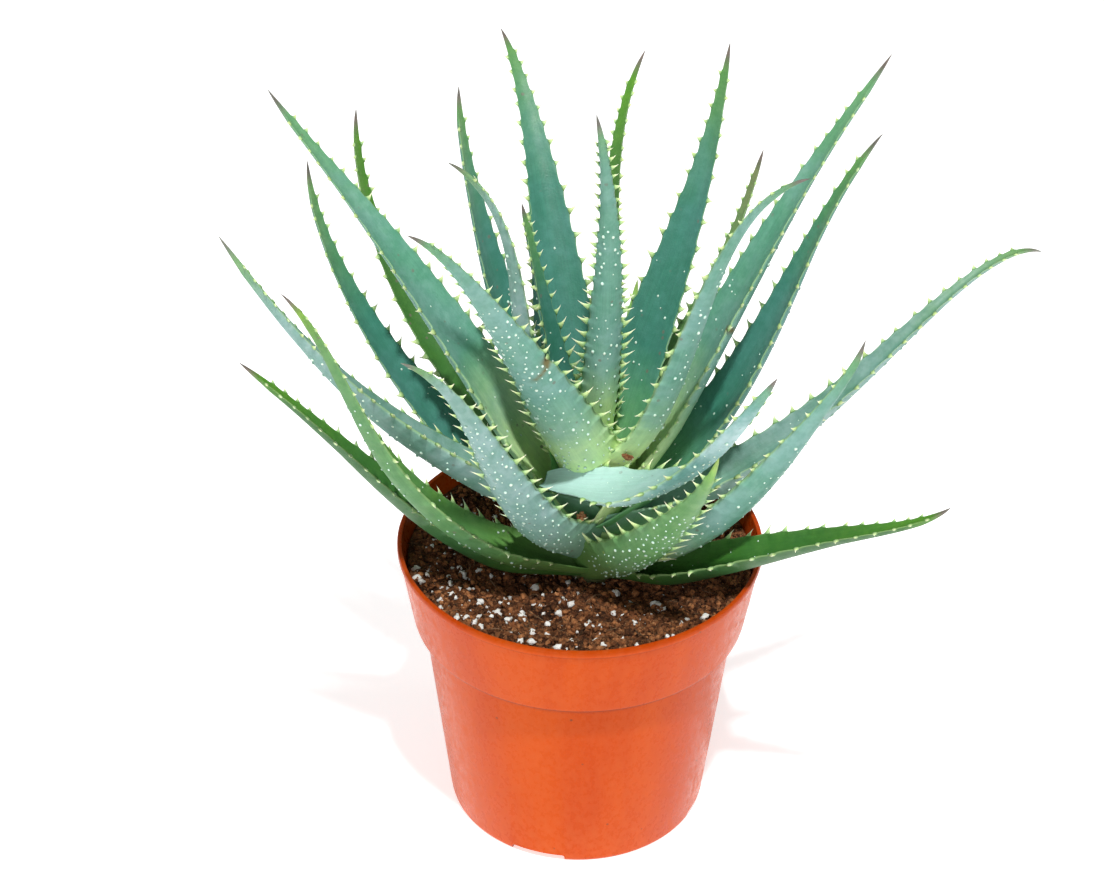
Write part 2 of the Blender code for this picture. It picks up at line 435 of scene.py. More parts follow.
def grain_group() -> bpy.types.NodeTree:
    """Builds the effect of a fine surface grain, made of two sizes of noise.

    Returns:
        A group with the inputs Vector, Scale and Coarse, and the output Height.
    """
    graph, entry, result = new_group("fine_grain", [("Scale", 900.0), ("Coarse", 0.5)],
                                     ["Height"])
    fine = graph.add("TexNoise", Vector=entry.outputs["Vector"], Scale=entry.outputs["Scale"],
                     Detail=3.0)
    coarse_scale = graph.maths("MULTIPLY", entry.outputs["Scale"], 0.22)
    coarse = graph.add("TexNoise", Vector=entry.outputs["Vector"], Scale=coarse_scale, Detail=4.0)
    weighed = graph.maths("MULTIPLY", coarse.outputs["Fac"], entry.outputs["Coarse"])
    graph.feed(result.inputs["Height"], graph.maths("ADD", fine.outputs["Fac"], weighed))
    return graph.tree


def dots_group() -> bpy.types.NodeTree:
    """Builds the effect of scattered small specks, each at a random place in its own cell.

    Returns:
        A group with the inputs Vector, Scale and Size, and the output Mask.
    """
    graph, entry, result = new_group("small_specks", [("Scale", 300.0), ("Size", 0.2)], ["Mask"])
    cells = graph.add("TexVoronoi", Vector=entry.outputs["Vector"], Scale=entry.outputs["Scale"])
    inner = graph.maths("MULTIPLY", entry.outputs["Size"], 0.6)
    mask = graph.add("MapRange", {"interpolation_type": "SMOOTHSTEP"},
                     in0=cells.outputs["Distance"], in1=inner, in2=entry.outputs["Size"],
                     in3=1.0, in4=0.0)
    graph.feed(result.inputs["Mask"], mask.outputs[0])
    return graph.tree


@dataclass
class Effects:
    """The shader effects that several finishes share, built once."""

    mottle: bpy.types.NodeTree
    grain: bpy.types.NodeTree
    dots: bpy.types.NodeTree


def new_material(name: str) -> tuple[bpy.types.Material, Graph, bpy.types.Node]:
    """Starts a material.

    Args:
        name: The material's name.

    Returns:
        The material, its graph and its Principled BSDF.
    """
    material = bpy.data.materials.new(name)
    material.use_nodes = True
    graph = Graph(material.node_tree)
    return material, graph, material.node_tree.nodes["Principled BSDF"]


# ---------------------------------------------------------------- finishes
@dataclass(frozen=True)
class LeafSkin:
    """The waxy skin of a leaf, from its pale foot to its dry point.

    Foot, middle and upper are the upper face's colours, and under is the lower face's. Bloom is
    the pale wax. The foot's colour has gone at foot_reach, a share of the leaf's length.
    """

    name: str
    foot: Colour
    middle: Colour
    upper: Colour
    bloom: Colour
    bloom_share: float
    under: Colour
    foot_reach: float = 0.30
    dry: Colour = (0.16, 0.12, 0.10)
    margin: Colour = (0.32, 0.48, 0.18)
    cork: Colour = (0.15, 0.13, 0.05)
    cloud: Colour = (0.70, 0.84, 0.80)
    roughness: float = 0.44

    def growth(self, graph: Graph) -> bpy.types.NodeSocket:
        """Works out the plain colour of both faces, from the foot to the dry point.

        Args:
            graph: The material's graph.

        Returns:
            The colour.
        """
        along, lower = graph.attribute("along"), graph.attribute("lower")
        half = tuple(0.5 * (a + b) for a, b in zip(self.foot, self.middle))
        body = graph.ramp(along, (0.09, self.foot), (0.58 * self.foot_reach, half),
                          (self.foot_reach, self.middle), (0.62, self.middle),
                          (0.935, self.upper), (0.972, self.dry))
        below = graph.maths("MULTIPLY", graph.spread(lower, 0.2, 0.8),
                            graph.spread(along, 0.10, self.foot_reach, 0.0, 0.8))
        below = graph.maths("MULTIPLY", below, graph.spread(along, 0.8, 0.96, 1.0, 0.0))
        return graph.blend(below, body, self.under)

    def streaked(self, graph: Graph, body: bpy.types.NodeSocket) -> bpy.types.NodeSocket:
        """Lays faint streaks along the leaf, each leaf with its own.

        Args:
            graph: The material's graph.
            body: The colour so far.

        Returns:
            The streaked colour.
        """
        strip = graph.add("CombineXYZ", in0=graph.maths("MULTIPLY", graph.attribute("across"), 9.0),
                          in1=graph.maths("MULTIPLY", graph.attribute("along"), 3.5),
                          in2=graph.attribute("tint"))
        fibres = graph.add("TexNoise", Vector=strip.outputs[0], Scale=1.6, Detail=5.0,
                           Roughness=0.65)
        shade = graph.spread(fibres.outputs["Fac"], 0.34, 0.68, 0.93, 1.06)
        grey = graph.add("CombineColor", in0=shade, in1=shade, in2=shade)
        return graph.blend(1.0, body, grey.outputs[0], "MULTIPLY")

    def waxed(self, graph: Graph, effects: Effects, place: bpy.types.NodeSocket,
              body: bpy.types.NodeSocket) -> bpy.types.NodeSocket:
        """Lays the pale bloom and the darker clouds where it is rubbed thin.

        Args:
            graph: The material's graph.
            effects: The shared effects.
            place: The object's own coordinates.
            body: The colour so far.

        Returns:
            The colour with its wax.
        """
        along, lower = graph.attribute("along"), graph.attribute("lower")
        patches = graph.group(effects.mottle, Vector=place, Scale=45.0, Low=0.36, High=0.66)
        most = min(1.0, 1.5 * self.bloom_share)
        share = graph.maths("MULTIPLY", patches.outputs[0],
                            graph.spread(lower, 0.2, 0.8, self.bloom_share, most))
        fading = graph.maths("MULTIPLY", graph.spread(along, 0.74, 0.93, 1.0, 0.15),
                             graph.spread(along, 0.0, self.foot_reach, 0.2, 1.0))
        body = graph.blend(graph.maths("MULTIPLY", share, fading), body, self.bloom)
        cloudy = graph.group(effects.mottle, Vector=place, Scale=260.0, Low=0.34, High=0.62)
        clouding = graph.maths("MULTIPLY", cloudy.outputs[0],
                               graph.spread(along, 0.05, self.foot_reach, 0.25, 0.85))
        return graph.blend(clouding, body, graph.blend(1.0, body, self.cloud, "MULTIPLY"))

    def marked(self, graph: Graph, effects: Effects, place: bpy.types.NodeSocket,
               body: bpy.types.NodeSocket) -> bpy.types.NodeSocket:
        """Adds small brown dents, the pale margins and the corky scars.

        Args:
            graph: The material's graph.
            effects: The shared effects.
            place: The object's own coordinates.
            body: The colour so far.

        Returns:
            The finished colour.
        """
        dents = graph.group(effects.dots, Vector=place, Scale=210.0, Size=0.17)
        some = graph.group(effects.mottle, Vector=place, Scale=80.0, Low=0.48, High=0.6)
        dents = graph.maths("MULTIPLY", dents.outputs[0], some.outputs[0])
        body = graph.blend(graph.maths("MULTIPLY", dents, 0.6), body, self.dry)
        edge = graph.maths("MULTIPLY", graph.attribute("edge"),
                           graph.spread(graph.attribute("along"), 0.86, 0.95, 0.65, 0.0))
        body = graph.blend(edge, body, self.margin)
        return graph.blend(graph.attribute("scar"), body, self.cork)

    def make(self, effects: Effects) -> bpy.types.Material:
        """Builds the material.

        Args:
            effects: The shared effects.

        Returns:
            The material.
        """
        material, graph, shader = new_material(self.name)
        place = graph.add("TexCoord").outputs["Object"]
        body = self.waxed(graph, effects, place, self.streaked(graph, self.growth(graph)))
        graph.feed(shader.inputs["Base Color"], self.marked(graph, effects, place, body))
        wiped = graph.group(effects.mottle, Vector=place, Scale=120.0, Low=0.3, High=0.7)
        rough = graph.maths("MULTIPLY_ADD", wiped.outputs[0], 0.16, self.roughness)
        scarred = graph.maths("MULTIPLY_ADD", graph.attribute("scar"), 0.3, rough)
        graph.feed(shader.inputs["Roughness"], scarred)
        grain = graph.group(effects.grain, Vector=place, Scale=1500.0, Coarse=1.2)
        bump = graph.add("Bump", Strength=0.22, Distance=0.0004, Height=grain.outputs[0])
        graph.feed(shader.inputs["Normal"], bump.outputs[0])
        shader.inputs["Specular IOR Level"].default_value = 0.42
        return material


@dataclass(frozen=True)
class HornFinish:
    """The pale horn of teeth and warts: green where it leaves the leaf, cream at its point."""

    name: str
    root: Colour
    middle: Colour
    point: Colour
    tip: Colour
    warmth: Colour = (1.0, 0.86, 0.66)
    roughness: float = 0.42

    def make(self, effects: Effects) -> bpy.types.Material:
        """Builds the material.

        Args:
            effects: The shared effects.

        Returns:
            The material.
        """
        material, graph, shader = new_material(self.name)
        place = graph.add("TexCoord").outputs["Object"]
        body = graph.ramp(graph.attribute("along"), (0.0, self.root), (0.35, self.middle),
                          (0.75, self.point), (1.0, self.tip))
        warm = graph.blend(1.0, body, self.warmth, "MULTIPLY")
        body = graph.blend(graph.attribute("tint"), body, warm)
        graph.feed(shader.inputs["Base Color"], body)
        grain = graph.group(effects.grain, Vector=place, Scale=2500.0, Coarse=0.6)
        bump = graph.add("Bump", Strength=0.15, Distance=0.0002, Height=grain.outputs[0])
        graph.feed(shader.inputs["Normal"], bump.outputs[0])
        shader.inputs["Roughness"].default_value = self.roughness
        return material


@dataclass(frozen=True)
class PotPlastic:
    """Orange polypropylene, moulded thin, satin gloss, a little dirt and painted shadow lines."""

    body: Colour = (0.530, 0.068, 0.002)
    deep: Colour = (0.470, 0.050, 0.001)
    worn: Colour = (0.62, 0.15, 0.05)
    # Colour of the painted shadow lines under the collar step and the lip, and of the darker rim
    # top.
    seam: Colour = (0.12, 0.010, 0.001)
    soil: Colour = (0.10, 0.045, 0.025)
    roughness: float = 0.26

    def make(self, effects: Effects) -> bpy.types.Material:
        """Builds the material.

        Args:
            effects: The shared effects.

        Returns:
            The material.
        """
        material, graph, shader = new_material("orange_plastic")
        shader.inputs["Specular IOR Level"].default_value = 0.12
        shader.inputs["Specular Tint"].default_value = (1.0, 0.70, 0.50, 1.0)
        place = graph.add("TexCoord").outputs["Object"]
        drawn = graph.add("Mapping", Vector=place, Scale=(1.0, 1.0, 0.16)).outputs[0]
        flow = graph.group(effects.mottle, Vector=drawn, Scale=34.0, Low=0.34, High=0.68)
        body = graph.blend(flow.outputs[0], self.body, self.deep)
        scuff = graph.add("Mapping", Vector=place, Scale=(1.0, 1.0, 0.7)).outputs[0]
        rubs = graph.group(effects.mottle, Vector=scuff, Scale=420.0, Low=0.40, High=0.70)
        height = graph.add("SeparateXYZ", Vector=place).outputs["Z"]
        low_down = graph.spread(height, 0.0, 30 * MM, 0.30, 0.16)
        body = graph.blend(graph.maths("MULTIPLY", rubs.outputs[0], low_down), body, self.worn)
        specks = graph.group(effects.dots, Vector=place, Scale=85.0, Size=0.055)
        body = graph.blend(graph.maths("MULTIPLY", specks.outputs[0], 0.7), body, self.soil)
        dusty = graph.group(effects.mottle, Vector=place, Scale=240.0, Low=0.3, High=0.6)
        grime = graph.maths("MULTIPLY", graph.attribute("grime"), dusty.outputs[0])
        body = graph.blend(grime, body, self.soil)
        # Painted shadow: dark lines under the collar step and the lip, and a darker rim top.
        body = graph.blend(graph.attribute("seam"), body, self.seam)
        graph.feed(shader.inputs["Base Color"], body)
        rough = graph.maths("MULTIPLY_ADD", rubs.outputs[0], 0.22, self.roughness)
        graph.feed(shader.inputs["Roughness"], graph.maths("MULTIPLY_ADD", grime, 0.4, rough))
        grain = graph.group(effects.grain, Vector=drawn, Scale=700.0, Coarse=2.4)
        bump = graph.add("Bump", Strength=0.10, Distance=0.0004, Height=grain.outputs[0])
        graph.feed(shader.inputs["Normal"], bump.outputs[0])
        return material


@dataclass(frozen=True)
class EarthFinish:
    """Peat, bark or stone: a dull broken colour with a rough grain."""

    name: str
    dark: Colour
    light: Colour
    fleck: Colour
    scale: float
    shadow: Colour = (0.26, 0.22, 0.20)
    depth: float = 0.0012
    roughness: float = 0.92

    def make(self, effects: Effects) -> bpy.types.Material:
        """Builds the material.

        Args:
            effects: The shared effects.

        Returns:
            The material.
        """
        material, graph, shader = new_material(self.name)
        place = graph.add("TexCoord").outputs["Object"]
        patches = graph.group(effects.mottle, Vector=place, Scale=self.scale, Low=0.38, High=0.62)
        body = graph.blend(patches.outputs[0], self.dark, self.light)
        fine = graph.group(effects.mottle, Vector=place, Scale=5.0 * self.scale, Low=0.56,
                           High=0.66)
        body = graph.blend(graph.maths("MULTIPLY", fine.outputs[0], 0.8), body, self.fleck)
        shaded = graph.blend(1.0, body, self.shadow, "MULTIPLY")
        body = graph.blend(graph.attribute("tint"), body, shaded)
        graph.feed(shader.inputs["Base Color"], body)
        grain = graph.group(effects.grain, Vector=place, Scale=9.0 * self.scale, Coarse=1.5)
        bump = graph.add("Bump", Strength=0.8, Distance=self.depth, Height=grain.outputs[0])
        graph.feed(shader.inputs["Normal"], bump.outputs[0])
        shader.inputs["Roughness"].default_value = self.roughness
        shader.inputs["Specular IOR Level"].default_value = 0.2
        return material


class Skin(Enum):
    """The leaf skins of this plant."""

    GLAUCOUS = LeafSkin("glaucous_skin", foot=(0.72, 0.92, 0.40), middle=(0.095, 0.30, 0.19),
                        upper=(0.13, 0.31, 0.13), bloom=(0.21, 0.38, 0.35), bloom_share=0.5,
                        under=(0.15, 0.34, 0.26), foot_reach=0.37)
    TEAL = LeafSkin("teal_skin", foot=(0.20, 0.50, 0.20), middle=(0.040, 0.195, 0.135),
                    upper=(0.115, 0.28, 0.07), bloom=(0.095, 0.26, 0.24), bloom_share=0.4,
                    under=(0.085, 0.26, 0.21))
    BLUE = LeafSkin("blue_skin", foot=(0.25, 0.48, 0.33), middle=(0.12, 0.27, 0.19),
                    upper=(0.16, 0.32, 0.10), bloom=(0.30, 0.43, 0.43), bloom_share=0.5,
                    under=(0.20, 0.36, 0.31), dry=(0.17, 0.15, 0.11))
    PALE = LeafSkin("pale_skin", foot=(0.40, 0.60, 0.55), middle=(0.20, 0.40, 0.36),
                    upper=(0.15, 0.34, 0.20), bloom=(0.44, 0.60, 0.61), bloom_share=0.65,
                    under=(0.14, 0.33, 0.31), foot_reach=0.5)
    GREEN = LeafSkin("green_skin", foot=(0.11, 0.24, 0.05), middle=(0.12, 0.29, 0.09),
                     upper=(0.27, 0.48, 0.10), bloom=(0.20, 0.36, 0.19), bloom_share=0.3,
                     under=(0.12, 0.28, 0.09), dry=(0.30, 0.42, 0.10))
    LIME = LeafSkin("lime_skin", foot=(0.11, 0.25, 0.05), middle=(0.10, 0.25, 0.045),
                    upper=(0.18, 0.35, 0.03), bloom=(0.11, 0.27, 0.12), bloom_share=0.35,
                    under=(0.10, 0.26, 0.09))
    SHADE = LeafSkin("shade_skin", foot=(0.06, 0.18, 0.03), middle=(0.045, 0.160, 0.020),
                     upper=(0.09, 0.25, 0.015), bloom=(0.055, 0.17, 0.05), bloom_share=0.25,
                     under=(0.032, 0.12, 0.035))
    DRY = LeafSkin("dry_skin", foot=(0.10, 0.24, 0.07), middle=(0.12, 0.25, 0.06),
                   upper=(0.19, 0.22, 0.09), bloom=(0.10, 0.22, 0.12), bloom_share=0.2,
                   under=(0.12, 0.24, 0.10))


# ---------------------------------------------------------------- leaves
@dataclass(frozen=True)
class Scar:
    """A corky mark across a leaf: its place, and its half lengths, in millimetres."""

    share: float
    across: float
    reach: float
    width: float
    slant: float = 0.0


@dataclass(frozen=True)
class LeafPlan:
    """How one leaf grows, in millimetres and degrees from +X, as its solid does.

    The base sits at around, height and out from the stem. The heading runs from base to tip, the
    rise from base over the middle to the tip, and curl bends the last part further. Fullness says
    how long the leaf stays wide, taper how slender its outer half is, and roll turns its upper
    face about its own length.
    """

    around: float
    height: float
    out: float
    heading: tuple[float, float]
    rise: tuple[float, float, float]
    curl: float
    length: float
    width: float
    fullness: float
    roll: tuple[float, float]
    skin: Skin
    clasp: float = 1.16
    taper: float = 1.25
    spikes: float = 1.0
    fold: float = 0.15
    warts: int = 0
    upper_warts: int = 0
    scars: tuple[Scar, ...] = ()


PLANS = [
    LeafPlan(319, 101, 11, (340, 337), (12, 29, 0), 48, 134, 19, 1.6, (4, 4), Skin.SHADE,
             clasp=0.45, fold=0.34, upper_warts=14),
    LeafPlan(212, 101, 11, (187, 183), (8, 48, 38), 4, 147, 18, 1.6, (0, 0), Skin.SHADE,
             clasp=0.5, fold=0.32, upper_warts=10),
    LeafPlan(130, 103, 10, (128, 120), (12, 30, 30), 0, 130, 19, 1.6, (0, 0), Skin.GREEN,
             warts=14),
    LeafPlan(244, 105, 11, (188, 214), (13, 62, 88), -40, 174, 18, 1.6, (0, 0), Skin.LIME,
             clasp=0.5, fold=0.30, warts=60, upper_warts=24),
    LeafPlan(286, 106, 11, (304, 304), (42, 51, 64), 9, 110, 24, 1.35, (-36, -36), Skin.GREEN,
             spikes=1.35, warts=115),
    LeafPlan(75, 107, 10, (78, 70), (15, 32, 35), 0, 135, 20, 1.6, (0, 0), Skin.TEAL,
             warts=14),
    LeafPlan(328, 108, 10, (337, 346), (17, 57, 46), 29, 142, 20, 2.3, (-25, -25),
             Skin.GLAUCOUS, fold=0.24, warts=90),
    LeafPlan(235, 113, 10, (229, 232), (40, 63, 47), -14, 148, 26, 1.2, (25, 25), Skin.BLUE,
             clasp=1.05, taper=1.4, spikes=1.15, warts=140),
    LeafPlan(155, 114, 10, (164, 157), (26, 53, 73), 16, 167, 21, 1.5, (-8, -8), Skin.TEAL,
             warts=16, upper_warts=8),
    LeafPlan(4, 116, 9, (7, 37), (16, 40, 55), -90, 189, 21, 0.95, (0, 0), Skin.BLUE,
             fold=0.44, warts=130, upper_warts=16),
    LeafPlan(102, 117, 9, (104, 100), (20, 40, 45), 0, 145, 20, 1.6, (0, 0), Skin.TEAL,
             warts=16),
    LeafPlan(192, 122, 10, (188, 190), (31, 48, 82), -24, 170, 22, 1.5, (14, 14), Skin.BLUE,
             fold=0.30, warts=90, upper_warts=24),
    LeafPlan(13, 124, 8, (13, 12), (31, 66, 67), -18, 168, 25, 1.5, (6, 6), Skin.TEAL,
             warts=20, upper_warts=12),
    LeafPlan(72, 126, 6, (76, 74), (28, 52, 58), 0, 80, 16, 1.6, (0, 0), Skin.GREEN,
             warts=12),
    LeafPlan(169, 127, 9, (159, 161), (52, 53, 41), 11, 178, 25, 1.7, (-5, -5),
             Skin.GLAUCOUS, warts=30, upper_warts=10),
    LeafPlan(0, 129, 8, (17, 24), (56, 62, 47), 5, 184, 24, 1.7, (-6, 0), Skin.GLAUCOUS,
             warts=30, upper_warts=18, scars=(Scar(0.42, -0.85, 2.2, 1.3, -0.3),)),
    LeafPlan(112, 130, 11, (142, 137), (1, 46, 88), 8, 171, 18, 1.5, (0, 0), Skin.SHADE,
             warts=10),
    LeafPlan(115, 133, 7, (105, 110), (61, 56, 45), -35, 168, 23, 1.7, (0, 0), Skin.TEAL,
             warts=20, upper_warts=6),
    LeafPlan(80, 136, 10, (41, 44), (43, 51, 83), -15, 127, 9, 1.5, (0, 0), Skin.DRY,
             warts=4),
    LeafPlan(278, 138, 5, (233, 233), (68, 58, 71), -37, 173, 26, 1.4, (30, 30),
             Skin.GLAUCOUS, clasp=1.08, taper=1.45, warts=150,
             scars=(Scar(0.44, 0.62, 4.2, 0.9, 0.45), Scar(0.455, 0.95, 1.6, 2.2))),
    LeafPlan(46, 138, 7, (50, 54), (71, 61, 96), -18, 156, 25, 1.5, (0, 0), Skin.TEAL,
             warts=16, upper_warts=14),
    LeafPlan(348, 141, 7, (326, 317), (54, 73, 57), -32, 164, 17, 1.6, (0, 0),
             Skin.GLAUCOUS, warts=60),
    LeafPlan(165, 142, 6, (152, 148), (52, 72, 77), 12, 145, 21, 1.5, (0, 0), Skin.TEAL,
             warts=10, upper_warts=6),
    LeafPlan(69, 143, 4, (66, 53), (71, 91, 75), -34, 153, 13, 1.6, (0, 0), Skin.SHADE,
             warts=6, upper_warts=8),
    LeafPlan(251, 146, 18, (334, 314), (8, 49, 66), -8, 111, 20, 1.9, (14, -34), Skin.PALE,
             clasp=0.62, spikes=1.15, fold=0.06, warts=110, upper_warts=12),
    LeafPlan(195, 146, 5, (198, 202), (49, 84, 58), -28, 137, 18, 1.6, (0, 0), Skin.BLUE,
             warts=70),
    LeafPlan(150, 147, 3, (141, 140), (63, 74, 72), 0, 94, 11, 1.5, (0, 0), Skin.TEAL,
             spikes=1.3, warts=6, upper_warts=6),
    LeafPlan(301, 148, 4, (302, 244), (91, 78, 75), -8, 153, 14, 1.7, (0, 0),
             Skin.GLAUCOUS, spikes=1.3, warts=60),
]


@dataclass
class LeafForm:
    """The shape of one leaf: its line, its outline and its section."""

    plan: LeafPlan
    number: int
    stem_x: float = 4.0 * MM
    root: float = 12.0 * MM
    tip_width: float = 2.1 * MM
    ring: float = 0.62 * MM
    sides: int = 24
    thickness: float = 0.25
    scallop: float = 1.3 * MM
    scallop_curve: float = 2.4
    bite_depth: float = 1.5 * MM
    tooth_lean: float = 0.86
    bare_foot: float = 0.07
    last_tooth: float = 0.93
    largest_tooth: float = 3.3 * MM
    common_tooth: float = 3.0 * MM
    least_pitch: float = 4.0 * MM
    pitch_gain: float = 3.8 * MM
    narrow: float = 15.0
    narrow_tooth: float = 0.82
    narrow_pitch: float = 0.72

    def __post_init__(self) -> None:
        """Walks the leaf's line once, and places its teeth."""
        self.length = self.plan.length * MM
        self.chance = random.Random(self.number)
        steps = 400
        middles = (np.arange(steps) + 0.5) / steps
        start = math.radians(self.plan.around)
        base = np.array([self.stem_x + self.plan.out * MM * math.cos(start),
                         self.plan.out * MM * math.sin(start), self.plan.height * MM])
        walked = base + np.cumsum(self.direction(middles), axis=0) * self.length / steps
        self.line_shares = np.arange(steps + 1) / steps
        self.line = np.vstack([base, walked])
        self.teeth = {side: self.tooth_places() for side in (1, -1)}

    def direction(self, shares: np.ndarray) -> np.ndarray:
        """Gives the leaf's direction.

        Args:
            shares: Shares of its length.

        Returns:
            One unit vector for each share.
        """
        first, middle, last = self.plan.rise
        rise = np.radians(first * (1 - shares) * (1 - 2 * shares)
                          + 4 * middle * shares * (1 - shares)
                          + last * shares * (2 * shares - 1)
                          + self.plan.curl * np.maximum(shares, 0.0) ** 6)
        heading = self.heading(shares)
        return np.stack([np.cos(rise) * np.cos(heading), np.cos(rise) * np.sin(heading),
                         np.sin(rise)], axis=-1)

    def heading(self, shares: np.ndarray) -> np.ndarray:
        """Gives the leaf's heading in plan, in radians."""
        start, end = self.plan.heading
        return np.radians(start + shares * (end - start))

    def frames(self, shares: np.ndarray) -> tuple[np.ndarray, np.ndarray, np.ndarray]:
        """Gives the leaf's line and its cross directions.

        Args:
            shares: Shares of the leaf's length; below 0 is inside the stem.

        Returns:
            The points, the directions to the left margin, and the directions out of the upper
            face.
        """
        inside = np.maximum(shares, 0.0)
        points = np.stack([np.interp(inside, self.line_shares, self.line[:, axis])
                           for axis in range(3)], axis=-1)
        along = self.direction(inside)
        points = points + along * (np.minimum(shares, 0.0) * self.length)[:, None]
        heading = self.heading(inside)
        level = np.stack([-np.sin(heading), np.cos(heading), np.zeros_like(heading)], axis=-1)
        start, end = self.plan.roll
        roll = np.radians(start + inside * (end - start))[:, None]
        across = level * np.cos(roll) + np.cross(along, level) * np.sin(roll)
        return points, across, np.cross(along, across)

    def width(self, shares: np.ndarray) -> np.ndarray:
        """Gives the leaf's width without its teeth, in metres."""
        inside = np.clip(shares, 0.0, 1.0)
        clasp = 1.0 + (self.plan.clasp - 1.0) * (1.0 - smoothstep(inside / 0.16))
        tucked = 1.0 - 0.45 * (np.minimum(shares, 0.0) * self.length / self.root) ** 2
        blade = self.plan.width * MM * clasp
        blade = blade * (1.0 - inside ** self.plan.fullness) ** self.plan.taper
        tip = self.tip_width * (1.0 - inside ** 26)
        return np.hypot(blade, tip) * tucked

    def tooth_places(self) -> list[tuple[float, float]]:
        """Places one margin's teeth: close at the foot and the tip, wider between.

        Returns:
            Pairs of share of the length and tooth size in metres, from the foot up.
        """
        places = []
        share = self.bare_foot + self.chance.uniform(0.0, 0.03)
        while share < self.last_tooth:
            fullness = math.sin(math.pi * (0.14 + 0.80 * share))
            grown = min(1.0, 0.45 + 4.0 * share) * (1.0 - 0.48 * smoothstep((share - 0.3) / 0.6))
            size = self.largest_tooth * grown * self.plan.spikes * self.chance.uniform(0.80, 1.15)
            pitch = self.least_pitch + self.pitch_gain * fullness
            pitch *= self.chance.uniform(0.80, 1.20)
            if self.plan.width < self.narrow:
                size *= self.narrow_tooth
                pitch *= self.narrow_pitch
            places.append((share, float(size)))
            share += pitch / self.length
        return places

    def scallops(self, shares: np.ndarray, side: int) -> np.ndarray:
        """Gives how far a margin stands out where it climbs to its teeth.

        Args:
            shares: Shares of the leaf's length.
            side: 1 for the left margin, -1 for the right one.

        Returns:
            Distances in metres.
        """
        stand = np.zeros_like(shares)
        teeth = self.teeth[side]
        for (share, size), (following, _) in zip(teeth, teeth[1:] + [(teeth[-1][0] + 0.05, 0.0)]):
            pitch = following - share
            before = (shares - (share - self.tooth_lean * pitch)) / (self.tooth_lean * pitch)
            after = 1.0 - (shares - share) / ((1.0 - self.tooth_lean) * pitch)
            climb = np.where(shares <= share, np.clip(before, 0, 1) ** self.scallop_curve,
                             np.clip(after, 0, 1))
            stand = np.maximum(stand, climb * self.scallop * size / self.common_tooth)
        for scar in self.plan.scars:
            if scar.across * side > 0.8:
                bite = (shares - scar.share) * self.plan.length / scar.width
                stand -= self.bite_depth * np.exp(-bite ** 2)
        return stand

    def surface(self, shares: np.ndarray, across: np.ndarray, lower: np.ndarray,
                stand: np.ndarray | float = 0.0) -> np.ndarray:
        """Finds points on the leaf's skin.

        Args:
            shares: Shares of the leaf's length.
            across: From -1 at the right margin to 1 at the left one.
            lower: 0 on the upper face and 1 on the lower one.
            stand: How far the margin stands out there.

        Returns:
            One point for each.
        """
        points, side, up = self.frames(shares)
        width = self.width(shares)
        hollow = self.plan.fold + 0.20 * (1.0 - smoothstep(shares / 0.22))
        hollow = hollow * (1.0 - 0.45 * smoothstep((shares - 0.6) / 0.4))
        thick = np.maximum(self.thickness * width, np.minimum(1.9 * MM, 0.7 * width))
        thick = thick * (0.5 + 0.5 * smoothstep(shares / 0.2))
        belly = np.sqrt(np.maximum(1.0 - across ** 2, 0.0))
        rise = hollow * width * across ** 2 + 0.06 * thick * belly - lower * thick * belly
        spread = across * (0.5 * width + stand * np.abs(across) ** 12)
        return points + side * spread[:, None] + up * rise[:, None]

    def normal(self, share: float, across: float, lower: float) -> tuple[Vector, Vector, Vector]:
        """Finds a point on the skin and how the skin lies there.

        Args:
            share: The share of the leaf's length.
            across: From -1 to 1.
            lower: 0 on the upper face and 1 on the lower one.

        Returns:
            The point, the direction along the leaf, and the direction out of the skin.
        """
        shares = np.array([share, share + 0.004, share])
        sideways = np.array([across, across, across + 0.02])
        here, ahead, beside = self.surface(shares, sideways, np.full(3, lower))
        along = Vector(ahead - here).normalized()
        outwards = Vector(beside - here).cross(along) * (1.0 if lower > 0.5 else -1.0)
        return Vector(here), along, outwards.normalized()


